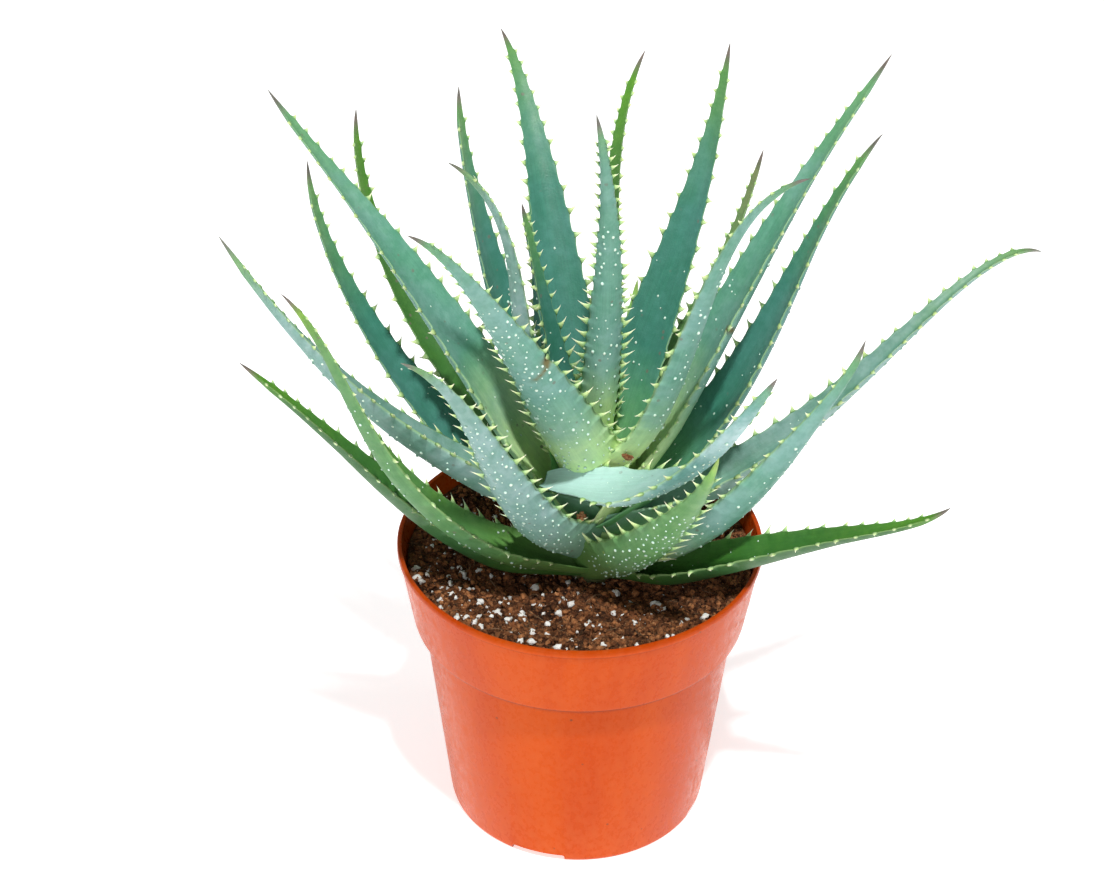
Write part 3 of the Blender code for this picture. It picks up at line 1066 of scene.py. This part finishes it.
@dataclass
class Leaf:
    """One leaf: its body, its teeth and its warts."""

    plan: LeafPlan
    number: int
    tooth_sink: float = 0.30
    tooth_rise: float = 0.30
    tooth_height: float = 1.15
    tooth_stoutness: float = 2.4 * MM
    wart_gap: float = 1.9 * MM
    least_wart: float = 0.26 * MM
    wart_gain: float = 0.42 * MM
    upper_wart: float = 0.85
    wart_stretch: float = 1.15
    wart_tries: int = 40

    def __post_init__(self) -> None:
        """Works out the leaf's form and names its pieces."""
        self.form = LeafForm(self.plan, self.number)
        self.name = f"leaf_{self.number:02d}"

    def body(self) -> bpy.types.Object:
        """Shapes a ringed cylinder into the leaf's channelled body.

        Returns:
            The body, with the attributes that its skin reads.
        """
        form = self.form
        deselect_all()
        bpy.ops.mesh.primitive_cylinder_add(vertices=form.sides, radius=1.0, depth=1.0,
                                            end_fill_type="TRIFAN")
        piece = name_last(self.name + "_body")
        coarse = round(math.sqrt(form.length / form.ring))
        cut_rings(piece, coarse - 1)
        cut_rings(piece, coarse - 1)
        blank = coordinates(piece.data)
        across = np.clip(blank[:, 0], -1.0, 1.0)
        lower = np.where(blank[:, 1] < -1e-4, 1.0, 0.0)
        root_share = form.root / form.length
        shares = (blank[:, 2] + 0.5) * (1.0 + root_share) - root_share
        shares = np.minimum(shares, 0.9995)
        centre = np.hypot(blank[:, 0], blank[:, 1]) < 0.5
        stand = np.where(across > 0, form.scallops(shares, 1), form.scallops(shares, -1))
        points = form.surface(shares, across, lower, stand)
        move_points(piece.data, points)
        margin = np.where(centre, 0.0, smoothstep((np.abs(across) - 0.96) / 0.04))
        write_attribute(piece.data, "along", np.clip(shares, 0.0, 1.0))
        write_attribute(piece.data, "across", across)
        write_attribute(piece.data, "lower", np.where(np.abs(across) > 0.99, 0.5, lower))
        write_attribute(piece.data, "edge", margin * smoothstep(shares / 0.1))
        write_attribute(piece.data, "scar", self.scars(shares, across))
        write_attribute(piece.data, "tint", np.full(len(shares), form.chance.uniform(0, 40)))
        smooth(piece)
        return piece

    def scars(self, shares: np.ndarray, across: np.ndarray) -> np.ndarray:
        """Gives how corky the skin is.

        Args:
            shares: Shares of the leaf's length.
            across: From -1 to 1.

        Returns:
            Numbers from 0 to 1.
        """
        cork = np.zeros_like(shares)
        for scar in self.plan.scars:
            sideways = (across - scar.across) * 0.5 * self.form.width(shares) / MM
            lengthways = (shares - scar.share) * self.plan.length - scar.slant * sideways
            cork += np.exp(-(lengthways / scar.width) ** 2 - (sideways / scar.reach) ** 4)
        return np.clip(cork, 0.0, 1.0)

    def tooth_matrices(self) -> list[Matrix]:
        """Places the teeth on both margins, each leaning towards the tip.

        Returns:
            One matrix for each tooth.
        """
        form, places = self.form, []
        for side, teeth in form.teeth.items():
            shares = np.array([share for share, _ in teeth])
            stand = form.scallops(shares, side)
            margins = form.surface(shares, np.full(len(teeth), float(side)), np.zeros(len(teeth)),
                                   stand)
            _, across, up = form.frames(shares)
            along = form.direction(shares)
            for i, (_, size) in enumerate(teeth):
                tilt = form.chance.uniform(-0.20, 0.25)
                outwards = Vector(across[i]) * side + Vector(up[i]) * (self.tooth_rise + tilt)
                outwards += Vector(along[i]) * form.chance.uniform(-0.05, 0.35)
                outwards.normalize()
                forward = Vector(along[i]) - Vector(along[i]).dot(outwards) * outwards
                forward.normalize()
                flat = outwards.cross(forward)
                root = Vector(margins[i]) - outwards * self.tooth_sink * size
                thick = (size + self.tooth_stoutness) / 2
                columns = [forward * thick, flat * thick, outwards * size * self.tooth_height]
                places.append(Matrix.Translation(root) @ Matrix(columns).transposed().to_4x4())
        return places

    def wart_matrices(self) -> list[Matrix]:
        """Scatters the warts over the lower face and a few over the upper one.

        Returns:
            One matrix for each wart.
        """
        form, places = self.form, []
        chance = form.chance
        kept: list[tuple[float, float, float]] = []
        for lower, count in ((1.0, self.plan.warts), (0.0, self.plan.upper_warts)):
            tries = 0
            made = 0
            while made < count and tries < self.wart_tries * count:
                tries += 1
                if lower:
                    share = 0.06 + 0.62 * chance.random() ** 1.25
                else:
                    share = chance.uniform(0.10, 0.5)
                across = chance.uniform(-0.86, 0.86)
                width = float(form.width(np.array([share]))[0])
                spot = (share * form.length, across * 0.5 * width, lower)
                if any(math.dist(spot[:2], other[:2]) < self.wart_gap and other[2] == lower
                       for other in kept):
                    continue
                kept.append(spot)
                made += 1
                point, along, outwards = form.normal(share, across, lower)
                size = self.least_wart + self.wart_gain * chance.random() ** 1.8
                if not lower:
                    size *= self.upper_wart
                side = outwards.cross(along)
                columns = [along * size * self.wart_stretch, side * size, outwards * size]
                places.append(Matrix.Translation(point) @ Matrix(columns).transposed().to_4x4())
        return places


@dataclass
class Rosette:
    """The plant above the soil: its leaves with their teeth and warts, and its short stem."""

    effects: Effects
    horn: HornFinish = HornFinish("tooth_horn", root=(0.22, 0.43, 0.16),
                                  middle=(0.54, 0.72, 0.32), point=(0.88, 0.94, 0.68),
                                  tip=(0.96, 0.94, 0.84))
    pearl: HornFinish = HornFinish("wart_pearl", root=(0.20, 0.42, 0.32),
                                   middle=(0.36, 0.58, 0.48), point=(0.62, 0.80, 0.70),
                                   tip=(0.80, 0.90, 0.82))
    bark: EarthFinish = EarthFinish("stem_bark", dark=(0.10, 0.12, 0.05),
                                    light=(0.22, 0.26, 0.10), fleck=(0.20, 0.12, 0.06),
                                    scale=160.0, depth=0.0006)
    dried: EarthFinish = EarthFinish("dried_scrap", dark=(0.17, 0.055, 0.02),
                                     light=(0.42, 0.20, 0.09), fleck=(0.50, 0.30, 0.17),
                                     scale=330.0, depth=0.0005)
    oldest: int = 8
    grown: int = 20
    wart_points: tuple[float, ...] = (0.1, 0.45, 0.0)
    stem_taper: float = 0.72
    stem_rings: int = 12
    ring_depth: float = 0.35 * MM
    knot_size: float = 0.5 * MM
    scrap_spots: tuple[Vector, ...] = (Vector((0.0160, -0.0140, 0.1569)),
                                       Vector((0.0006, -0.0200, 0.1360)))
    scrap_sizes: tuple[tuple[float, ...], ...] = ((1.3 * MM, 1.0 * MM, 0.9 * MM),
                                                  (1.7 * MM, 1.3 * MM, 1.5 * MM))
    scrap_stretches: tuple[float, ...] = (1.5, 0.9)
    scrap_lean: float = 25.0

    def __post_init__(self) -> None:
        """Builds the finishes that the leaves share."""
        self.skins = {skin: skin.value.make(self.effects) for skin in Skin}
        self.horn_material = self.horn.make(self.effects)
        self.pearl_material = self.pearl.make(self.effects)

    def tooth_model(self) -> bpy.types.Object:
        """Shapes a cone into one hooked tooth, one unit tall, with a flared foot.

        Returns:
            The tooth, to be copied.
        """
        deselect_all()
        bpy.ops.mesh.primitive_cone_add(vertices=7, radius1=1.0, radius2=0.06, depth=1.0,
                                        end_fill_type="TRIFAN", location=(0, 0, 0))
        model = name_last("tooth_model")
        cut_rings(model, 4)
        points = coordinates(model.data)
        height = points[:, 2] + 0.5
        cone = 1.0 - 0.94 * height
        slim = (0.20 + 0.80 * (1.0 - height) ** 2.2) * (1.0 - height ** 3 * 0.92)
        ring = points[:, :2] / np.maximum(cone, 1e-6)[:, None]
        hook = 0.42 * height ** 2
        shaped = np.stack([ring[:, 0] * slim * 0.50 + hook - 0.10, ring[:, 1] * slim * 0.24,
                           height * 1.12], axis=-1)
        move_points(model.data, shaped)
        write_attribute(model.data, "along", height)
        return model

    def wart_model(self, pointed: float) -> bpy.types.Object:
        """Shapes a ball into a low wart.

        Args:
            pointed: How far its top is drawn out.

        Returns:
            The wart, to be copied.
        """
        deselect_all()
        bpy.ops.mesh.primitive_uv_sphere_add(segments=8, ring_count=5, radius=1.0)
        model = name_last("wart_model")
        points = coordinates(model.data)
        height = np.clip(points[:, 2], 0.0, 1.0)
        points[:, 2] = np.where(points[:, 2] > 0, 0.62 * height + pointed * height ** 3,
                                0.4 * points[:, 2])
        points[:, 0] += 0.5 * pointed * height ** 2
        move_points(model.data, points)
        write_attribute(model.data, "along", height)
        return model

    def slot(self, number: int) -> str:
        """Names the material slot of a leaf by its age, the lowest being the oldest."""
        if number <= self.oldest:
            return "old_leaf"
        return "leaf" if number <= self.grown else "young_leaf"

    def build(self) -> None:
        """Makes every leaf and the stem."""
        tooth = self.tooth_model()
        warts = [self.wart_model(pointed) for pointed in self.wart_points]
        for number, plan in enumerate(PLANS, 1):
            leaf = Leaf(plan, number)
            slot = self.slot(number)
            dress(leaf.body(), self.skins[plan.skin], slot, leaf.name)
            chance = random.Random(100 + number)
            teeth = leaf.tooth_matrices()
            shades = [chance.uniform(0.0, 0.5) for _ in teeth]
            dress(copies(leaf.name + "_teeth", [tooth], teeth, shades), self.horn_material, slot,
                  leaf.name)
            spots = leaf.wart_matrices()
            if spots:
                shades = [chance.uniform(0.0, 0.3) for _ in spots]
                dress(copies(leaf.name + "_warts", warts, spots, shades), self.pearl_material,
                      slot, leaf.name)
        remove([tooth, *warts])
        self.stem()
        self.scraps()

    def stem(self) -> None:
        """Shapes the short stem, ringed where older leaves have been."""
        low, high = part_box("stem")
        centre = (low + high) / 2
        deselect_all()
        bpy.ops.mesh.primitive_cylinder_add(vertices=40, radius=1.0, depth=1.0,
                                            end_fill_type="TRIFAN")
        piece = name_last("stem_core")
        cut_rings(piece, 90)
        points = coordinates(piece.data)
        height = points[:, 2] + 0.5
        radius = (high.x - low.x) / 2 * (1.0 - self.stem_taper * height)
        turned = height * self.stem_rings * math.pi + 0.6 * points[:, 0]
        rings = self.ring_depth * np.abs(np.sin(turned))
        knots = np.array([noise.noise(Vector((p[0] * 3, p[1] * 3, p[2] * 20))) for p in points])
        radius = radius + rings + self.knot_size * knots
        points[:, 0] = centre.x + points[:, 0] * radius
        points[:, 1] = centre.y + points[:, 1] * radius
        points[:, 2] = low.z + height * (high.z - low.z)
        move_points(piece.data, points)
        write_attribute(piece.data, "tint", 1.0 - smoothstep(height * 2))
        smooth(piece)
        dress(piece, self.bark.make(self.effects), "stem_skin", "stem")

    def scraps(self) -> None:
        """Crumples two small dried scraps that lie where the front leaves meet."""
        models = []
        for i, stretch in enumerate(self.scrap_stretches):
            deselect_all()
            bpy.ops.mesh.primitive_ico_sphere_add(subdivisions=3, radius=1.0)
            model = name_last(f"scrap_model_{i}")
            points = coordinates(model.data)
            for row in points:
                row *= 1.0 + 0.8 * noise.noise(Vector(row) * 1.9 + Vector((9.0 * i, 0, 0)))
            points[:, 0] *= stretch
            move_points(model.data, points)
            models.append(model)
        turn = Matrix.Rotation(math.radians(self.scrap_lean), 4, "Y")
        places = [Matrix.Translation(spot) @ turn @ Matrix.Diagonal((*size, 1.0))
                  for spot, size in zip(self.scrap_spots, self.scrap_sizes)]
        piece = copies("dried_scraps", models, places, [0.3, 0.0])
        remove(models)
        dress(piece, self.dried.make(self.effects), "stem_skin", "stem")


# ---------------------------------------------------------------- soil
@dataclass
class Earth:
    """The potting mix: its crumbled surface, loose crumbs, fibres and perlite."""

    effects: Effects
    peat: EarthFinish = EarthFinish("peat", dark=(0.060, 0.022, 0.009),
                                    light=(0.34, 0.122, 0.044), fleck=(0.58, 0.29, 0.13),
                                    scale=330.0, depth=0.0018)
    crumb: EarthFinish = EarthFinish("peat_crumb", dark=(0.13, 0.047, 0.018),
                                     light=(0.52, 0.205, 0.076), fleck=(0.70, 0.38, 0.18),
                                     scale=300.0)
    fibre: EarthFinish = EarthFinish("peat_fibre", dark=(0.14, 0.075, 0.038),
                                     light=(0.26, 0.16, 0.09), fleck=(0.32, 0.21, 0.12),
                                     scale=400.0, depth=0.0003)
    perlite: EarthFinish = EarthFinish("perlite", dark=(0.88, 0.85, 0.80),
                                       light=(0.97, 0.96, 0.93), fleck=(0.80, 0.70, 0.58),
                                       scale=500.0, depth=0.0006, roughness=0.8)
    middle_top: float = 98.0 * MM
    edge_raised: float = 4.0 * MM
    side_overlap: float = 0.5 * MM
    pit: tuple[float, float] = (1.0 * MM, -42.0 * MM)
    pit_radius: float = 5.5 * MM
    pit_depth: float = 3.5 * MM
    shoulder: float = 83.0 * MM
    shoulder_share: float = 0.88
    foot_share: float = 0.82
    divisions: int = 250
    crumb_count: int = 8500
    crumb_sizes: tuple[float, float] = (0.30 * MM, 1.7 * MM)
    grain_count: int = 340
    grain_sizes: tuple[float, float] = (0.35 * MM, 1.8 * MM)
    fibre_count: int = 520
    fibre_sizes: tuple[float, float] = (2.5 * MM, 9.0 * MM)
    strand_kinds: int = 4

    def __post_init__(self) -> None:
        """Reads where the soil lies from the frame."""
        self.low, self.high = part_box("soil")
        self.radius = (self.high.x - self.low.x) / 2 + self.side_overlap
        self.edge_top = self.high.z + self.edge_raised
        self.chance = random.Random(7)

    def height(self, x: float, y: float) -> float:
        """Finds the crumbled surface's height.

        Args:
            x: The place from the pot's axis.
            y: The place from the pot's axis.

        Returns:
            The height in metres.
        """
        out = math.hypot(x, y) / self.radius
        level = self.middle_top + (self.edge_top - self.middle_top) * smoothstep((out - 0.35) / 0.6)
        from_pit = math.dist((x, y), self.pit) / self.pit_radius
        level -= self.pit_depth * math.exp(-from_pit ** 4)
        lumps = noise.fractal(Vector((x, y, 0.0)) * 90.0, 0.9, 2.1, 4)
        grit = noise.turbulence(Vector((x, y, 0.3)) * 420.0, 4, False)
        crumbs = noise.cell(Vector((x, y, 0.6)) * 520.0)
        rim = 1.0 - 0.8 * smoothstep((out - 0.90) / 0.1)
        wave = (1.1 * lumps + 1.3 * (grit - 0.5) + 0.6 * crumbs) * rim
        return float(level) + (wave - 0.3) * MM

    def surface(self) -> None:
        """Shapes a grid into the soil's round, crumbled top and closes it below."""
        deselect_all()
        bpy.ops.mesh.primitive_grid_add(x_subdivisions=self.divisions,
                                        y_subdivisions=self.divisions, size=2.0)
        piece = name_last("soil_body")
        points = coordinates(piece.data)
        x, y = points[:, 0].copy(), points[:, 1].copy()
        points[:, 0] = x * np.sqrt(1 - y * y / 2) * self.radius
        points[:, 1] = y * np.sqrt(1 - x * x / 2) * self.radius
        points[:, 2] = [self.height(px, py) for px, py in points[:, :2]]
        move_points(piece.data, points)
        select_only(piece)
        bpy.ops.object.mode_set(mode="EDIT")
        bpy.ops.mesh.select_mode(type="EDGE")
        bpy.ops.mesh.select_all(action="DESELECT")
        bpy.ops.mesh.select_non_manifold()
        for height, share in ((self.shoulder, self.shoulder_share),
                              (self.low.z, self.foot_share)):
            bpy.ops.mesh.extrude_edges_move(TRANSFORM_OT_translate={"value": (0, 0, -1 * MM)})
            bpy.ops.transform.resize(value=(share, share, 0.0), center_override=(0, 0, height))
        bpy.ops.mesh.edge_face_add()
        bpy.ops.mesh.select_all(action="SELECT")
        bpy.ops.mesh.normals_make_consistent(inside=False)
        bpy.ops.object.mode_set(mode="OBJECT")
        dark = [0.5 + 1.2 * noise.noise(p.co * 60.0) for p in piece.data.vertices]
        write_attribute(piece.data, "tint", np.clip(np.array(dark), 0.0, 1.0))
        smooth(piece)
        dress(piece, self.peat.make(self.effects), "potting_soil", "soil")

    def lump_models(self, name: str, count: int, detail: int, flat: float,
                    ) -> list[bpy.types.Object]:
        """Shapes balls into uneven lumps of about one unit.

        Args:
            name: What they are called.
            count: How many different ones to make.
            detail: How finely each ball is divided.
            flat: How tall they are, as a share of their width.

        Returns:
            The lumps, to be copied.
        """
        models = []
        for i in range(count):
            deselect_all()
            bpy.ops.mesh.primitive_ico_sphere_add(subdivisions=detail, radius=1.0)
            model = name_last(f"{name}_{i}")
            points = coordinates(model.data)
            for row in points:
                knock = noise.noise(Vector(row) * 1.3 + Vector((i * 7.0, 0, 0)))
                row *= 1.0 + 0.9 * knock
                row[2] *= flat
            move_points(model.data, points)
            models.append(model)
        return models

    def scattered(self, count: int, sizes: tuple[float, float], sink: float,
                  front: float) -> list[Matrix]:
        """Scatters places over the soil's surface.

        Args:
            count: How many places.
            sizes: The smallest and the largest size, in metres.
            sink: How deep each one sits, as a share of its size.
            front: How much more of them lie at the left and the front, from 0 to 1.

        Returns:
            One matrix for each place.
        """
        places = []
        least, most = sizes
        while len(places) < count:
            x = self.chance.uniform(-1, 1) * self.radius * 0.985
            y = self.chance.uniform(-1, 1) * self.radius * 0.985
            out = math.hypot(x, y)
            if out > self.radius * 0.975:
                continue
            if self.chance.random() < front * (0.5 + (0.5 * x + 0.15 * y) / self.radius):
                continue
            size = least + (most - least) * self.chance.random() ** 2.2
            turn = Matrix.Rotation(self.chance.uniform(0, 6.28), 4, "Z")
            lean = Matrix.Rotation(self.chance.uniform(-0.6, 0.6), 4, "X")
            grow = Matrix.Diagonal((size, size * self.chance.uniform(0.7, 1.0), size, 1.0))
            spot = Vector((x, y, self.height(x, y) - sink * size))
            places.append(Matrix.Translation(spot) @ turn @ lean @ grow)
        return places

    def strand_models(self) -> list[bpy.types.Object]:
        """Shapes thin cylinders into bent fibres of one unit's length.

        Returns:
            The fibres, to be copied.
        """
        models = []
        for i in range(self.strand_kinds):
            deselect_all()
            bpy.ops.mesh.primitive_cylinder_add(vertices=4, radius=1.0, depth=1.0)
            model = name_last(f"fibre_model_{i}")
            cut_rings(model, 5)
            points = coordinates(model.data)
            run = points[:, 2].copy()
            thin = 0.030 * (1.0 - 1.2 * np.abs(run))
            bend = 0.16 * np.cos(run * (3.0 + i)) + 0.05 * np.sin(run * 9.0 + i)
            arch = 0.10 * np.cos(run * math.pi) - 0.03 * i * run
            points = np.stack([run, points[:, 0] * thin + bend, points[:, 1] * thin + arch],
                              axis=-1)
            move_points(model.data, points)
            models.append(model)
        return models

    def build(self) -> None:
        """Makes the soil and all that lies on it."""
        self.surface()
        jobs = [
            ("soil_crumbs", self.lump_models("crumb_model", 5, 1, 0.75), self.crumb,
             self.scattered(self.crumb_count, self.crumb_sizes, 0.0, 0.0)),
            ("perlite_grains", self.lump_models("perlite_model", 6, 2, 0.8), self.perlite,
             self.scattered(self.grain_count, self.grain_sizes, -0.1, 1.0)),
            ("peat_fibres", self.strand_models(), self.fibre,
             self.scattered(self.fibre_count, self.fibre_sizes, 0.0, 0.0)),
        ]
        for name, models, finish, places in jobs:
            tint = [self.chance.random() for _ in places]
            if finish is self.perlite:
                tint = [0.15 * shade ** 3 for shade in tint]
            piece = copies(name, models, places, tint)
            dress(piece, finish.make(self.effects), "potting_soil", "soil")
            remove(models)


# ---------------------------------------------------------------- pot
@dataclass
class Pot:
    """The tapered nursery pot, with its collar, lip, foot ring, notches and drain holes."""

    effects: Effects
    wall: float = 1.2 * MM
    collar_height: float = 30.7 * MM
    collar_foot_radius: float = 59.6 * MM
    body_top_radius: float = 56.3 * MM
    base_radius: float = 47.0 * MM
    lip_height: float = 2.6 * MM
    lip_step: float = 0.6 * MM
    floor_rise: float = 3.0 * MM
    dish_radius: float = 22.0 * MM
    foot_ring: float = 2.6 * MM
    notches: int = 4
    notch_width: float = 20.0 * MM
    first_notch: float = 253.0
    hole_radius: float = 4.5 * MM
    hole_circle: float = 34.0 * MM
    turns: int = 180

    def outline(self) -> list[tuple[float, float]]:
        """Lists the pot's section as pairs of radius and height, from the inside round."""
        low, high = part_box("pot")
        top, rim = high.z, (high.x - low.x) / 2
        step = top - self.collar_height
        floor = self.floor_rise + self.wall
        lip = top - self.lip_height
        inside_rim = rim - self.lip_step - self.wall
        foot_inside = self.base_radius - self.foot_ring
        return [
            (0.0, self.wall),
            (self.dish_radius, self.wall),
            (self.dish_radius + 2.0 * MM, floor),
            (self.base_radius - self.wall - 1.0 * MM, floor),
            (self.base_radius - self.wall + 0.3 * MM, floor + 0.8 * MM),
            (self.body_top_radius - self.wall, step),
            (self.collar_foot_radius - self.wall, step + self.wall),
            (inside_rim, top - 0.5 * MM),
            (inside_rim + 0.15 * MM, top - 0.15 * MM),
            (inside_rim + 0.5 * MM, top),
            (rim - 0.7 * MM, top),
            (rim - 0.25 * MM, top - 0.2 * MM),
            (rim, top - 0.7 * MM),
            (rim, lip + 0.7 * MM),
            (rim - 0.15 * MM, lip + 0.2 * MM),
            (rim - self.lip_step, lip - 0.1 * MM),
            (rim - self.lip_step - 0.15 * MM, lip - 0.9 * MM),
            (self.collar_foot_radius + 0.45 * MM, step + 1.7 * MM),
            (self.collar_foot_radius + 0.25 * MM, step + 0.9 * MM),
            (self.collar_foot_radius + 0.05 * MM, step + 0.35 * MM),
            (self.collar_foot_radius - 0.5 * MM, step),
            (self.body_top_radius + 0.3 * MM, step - 0.15 * MM),
            (self.body_top_radius, step - 0.6 * MM),
            (self.body_top_radius - 0.4 * MM, step - 4.0 * MM),
            (self.base_radius + 0.45 * MM, 1.8 * MM),
            (self.base_radius + 0.2 * MM, 0.7 * MM),
            (self.base_radius - 0.4 * MM, 0.0),
            (foot_inside, 0.0),
            (foot_inside - 0.6 * MM, self.floor_rise),
            (self.dish_radius + 2.6 * MM, self.floor_rise),
            (self.dish_radius + 0.6 * MM, 0.0),
            (0.0, 0.0),
        ]

    def turned(self) -> bpy.types.Object:
        """Extrudes one point along the outline and spins it round the axis.

        Returns:
            The closed pot, not yet cut.
        """
        outline = self.outline()
        deselect_all()
        bpy.ops.mesh.primitive_plane_add(size=0.001, location=(0, 0, 0))
        piece = name_last("pot_shell")
        bpy.ops.object.mode_set(mode="EDIT")
        bpy.ops.mesh.select_mode(type="VERT")
        bpy.ops.mesh.select_all(action="SELECT")
        bpy.ops.mesh.merge(type="CENTER")
        bpy.ops.transform.translate(value=(outline[0][0], 0, outline[0][1]))
        for (r, z), (next_r, next_z) in zip(outline, outline[1:]):
            bpy.ops.mesh.extrude_region_move(
                TRANSFORM_OT_translate={"value": (next_r - r, 0, next_z - z)})
        bpy.ops.mesh.select_all(action="SELECT")
        bpy.ops.mesh.spin(steps=self.turns, angle=2 * math.pi, center=(0, 0, 0), axis=(0, 0, 1))
        bpy.ops.mesh.select_all(action="SELECT")
        bpy.ops.mesh.remove_doubles(threshold=0.00001)
        bpy.ops.mesh.normals_make_consistent(inside=False)
        bpy.ops.object.mode_set(mode="OBJECT")
        return piece

    def cut(self, piece: bpy.types.Object, cutter: bpy.types.Object) -> None:
        """Takes a cutter out of the pot.

        Args:
            piece: The pot.
            cutter: What is taken away; it is removed afterwards.
        """
        boolean = piece.modifiers.new("Cut", "BOOLEAN")
        boolean.operation = "DIFFERENCE"
        boolean.object = cutter
        apply_modifiers(piece)
        remove([cutter])

    def openings(self, piece: bpy.types.Object) -> None:
        """Cuts the foot ring's notches and the drain holes.

        Args:
            piece: The pot.
        """
        for i in range(self.notches):
            angle = math.radians(self.first_notch + i * 360.0 / self.notches)
            outwards = Vector((math.cos(angle), math.sin(angle), 0.0))
            deselect_all()
            bpy.ops.mesh.primitive_cube_add(size=1.0, location=outwards * self.base_radius)
            block = name_last("notch_cutter")
            block.scale = (12 * MM, self.notch_width, 2 * (self.floor_rise - 0.4 * MM))
            block.rotation_euler.z = angle
            bpy.ops.object.transform_apply()
            bevel = block.modifiers.new("Round", "BEVEL")
            bevel.width = 0.8 * MM
            bevel.segments = 3
            apply_modifiers(block)
            self.cut(piece, block)
            deselect_all()
            centre = outwards * self.hole_circle + Vector((0, 0, self.floor_rise))
            bpy.ops.mesh.primitive_cylinder_add(vertices=40, radius=self.hole_radius,
                                                depth=4 * self.wall, location=centre)
            drill = name_last("drain_cutter")
            bpy.ops.object.transform_apply()
            self.cut(piece, drill)

    def build(self) -> None:
        """Makes the pot."""
        piece = self.turned()
        self.openings(piece)
        points = coordinates(piece.data)
        _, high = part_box("pot")
        out = np.hypot(points[:, 0], points[:, 1])
        step = high.z - self.collar_height
        lip = high.z - self.lip_height
        # Painted shadow: a dark line along the collar step and under the lip; the rim top is
        # darkened a little.
        under_collar = np.abs(points[:, 2] - step) < 0.7 * MM
        under_lip = (np.abs(points[:, 2] - lip) < 0.15 * MM) & (out > self.collar_foot_radius)
        on_lip = points[:, 2] > high.z - 1.2 * MM
        write_attribute(piece.data, "seam", 0.95 * under_collar + 0.45 * under_lip + 0.3 * on_lip)
        inner = (out < self.collar_foot_radius + 3.4 * MM) & (points[:, 2] > step + 8 * MM)
        write_attribute(piece.data, "grime", np.where(inner, 1.0, 0.0))
        smooth(piece, 32.0)
        dress(piece, PotPlastic().make(self.effects), "pot_plastic", "pot")


# ---------------------------------------------------------------- studio
@dataclass(frozen=True)
class Lamp:
    """One soft light: where it stands, its width and height in metres, and its watts."""

    name: str
    place: tuple[float, float, float]
    size: tuple[float, float]
    power: float


@dataclass
class Studio:
    """The pale floor, the soft lights and the camera."""

    camera_at: tuple[float, float, float] = (0.0, -0.7417, 0.6646)
    pitch: float = 34.684
    yaw: float = -0.787
    roll: float = 0.410
    lens: float = 84.8
    sensor: float = 36.0
    floor_size: float = 12.0
    floor_shade: float = 0.94
    floor_glow: float = 0.56
    world_strength: float = 0.29
    aim: tuple[float, float, float] = (0.0, 0.0, 0.15)
    lamps: tuple[Lamp, ...] = (
        Lamp("key", (0.12, -0.62, 1.80), (0.10, 0.10), 32.0),
        Lamp("fill", (-0.45, -1.35, 0.60), (0.7, 0.7), 5.5),
        Lamp("left_strip", (-0.95, 0.10, 0.40), (0.22, 1.0), 1.2),
        Lamp("right_strip", (0.95, 0.05, 0.40), (0.22, 1.0), 1.5))

    def floor(self) -> None:
        """Lays the floor, which isn't part of the object."""
        deselect_all()
        bpy.ops.mesh.primitive_plane_add(size=self.floor_size, location=(0, 0, 0))
        ground = name_last("studio_floor")
        material, _, shader = new_material("floor_white")
        shader.inputs["Base Color"].default_value = (*[self.floor_shade] * 3, 1.0)
        shader.inputs["Roughness"].default_value = 0.9
        shader.inputs["Emission Color"].default_value = (1.0, 1.0, 1.0, 1.0)
        shader.inputs["Emission Strength"].default_value = self.floor_glow
        ground.data.materials.append(material)

    def light(self, lamp: Lamp) -> None:
        """Adds a soft light that faces the plant.

        Args:
            lamp: The light's name, place, size and power.
        """
        data = bpy.data.lights.new(lamp.name, "AREA")
        data.shape = "RECTANGLE"
        data.size, data.size_y = lamp.size
        data.energy = lamp.power
        stand = bpy.data.objects.new(lamp.name, data)
        bpy.context.scene.collection.objects.link(stand)
        stand.location = lamp.place
        towards = Vector(self.aim) - Vector(lamp.place)
        stand.rotation_euler = towards.to_track_quat("-Z", "Y").to_euler()

    def surroundings(self) -> None:
        """Sets the even white light that fills the studio."""
        world = bpy.data.worlds.new("white_tent")
        bpy.context.scene.world = world
        world.use_nodes = True
        background = world.node_tree.nodes["Background"]
        background.inputs["Color"].default_value = (1.0, 1.0, 1.0, 1.0)
        background.inputs["Strength"].default_value = self.world_strength

    def camera(self) -> None:
        """Places the camera."""
        data = bpy.data.cameras.new("camera")
        data.lens = self.lens
        data.sensor_width = self.sensor
        eye = bpy.data.objects.new("camera", data)
        bpy.context.scene.collection.objects.link(eye)
        pitch, yaw, roll = (math.radians(a) for a in (self.pitch, self.yaw, self.roll))
        forward = Vector((math.sin(yaw) * math.cos(pitch), math.cos(yaw) * math.cos(pitch),
                          -math.sin(pitch)))
        right = forward.cross(Vector((0, 0, 1))).normalized()
        up = right.cross(forward)
        level = math.cos(roll) * right + math.sin(roll) * up
        upright = -math.sin(roll) * right + math.cos(roll) * up
        turn = Matrix((level, upright, -forward)).transposed().to_4x4()
        eye.matrix_world = Matrix.Translation(self.camera_at) @ turn
        bpy.context.scene.camera = eye

    def build(self) -> None:
        """Sets up the whole studio."""
        bpy.context.scene.view_settings.view_transform = "Standard"
        self.floor()
        self.surroundings()
        for lamp in self.lamps:
            self.light(lamp)
        self.camera()


def main() -> None:
    """Builds the studio, the pot, the soil and the plant."""
    logging.basicConfig(level=logging.INFO, format="%(name)s: %(message)s")
    effects = Effects(mottle_group(), grain_group(), dots_group())
    Studio().build()
    Pot(effects).build()
    Earth(effects).build()
    Rosette(effects).build()


if __name__ == "__main__":
    main()
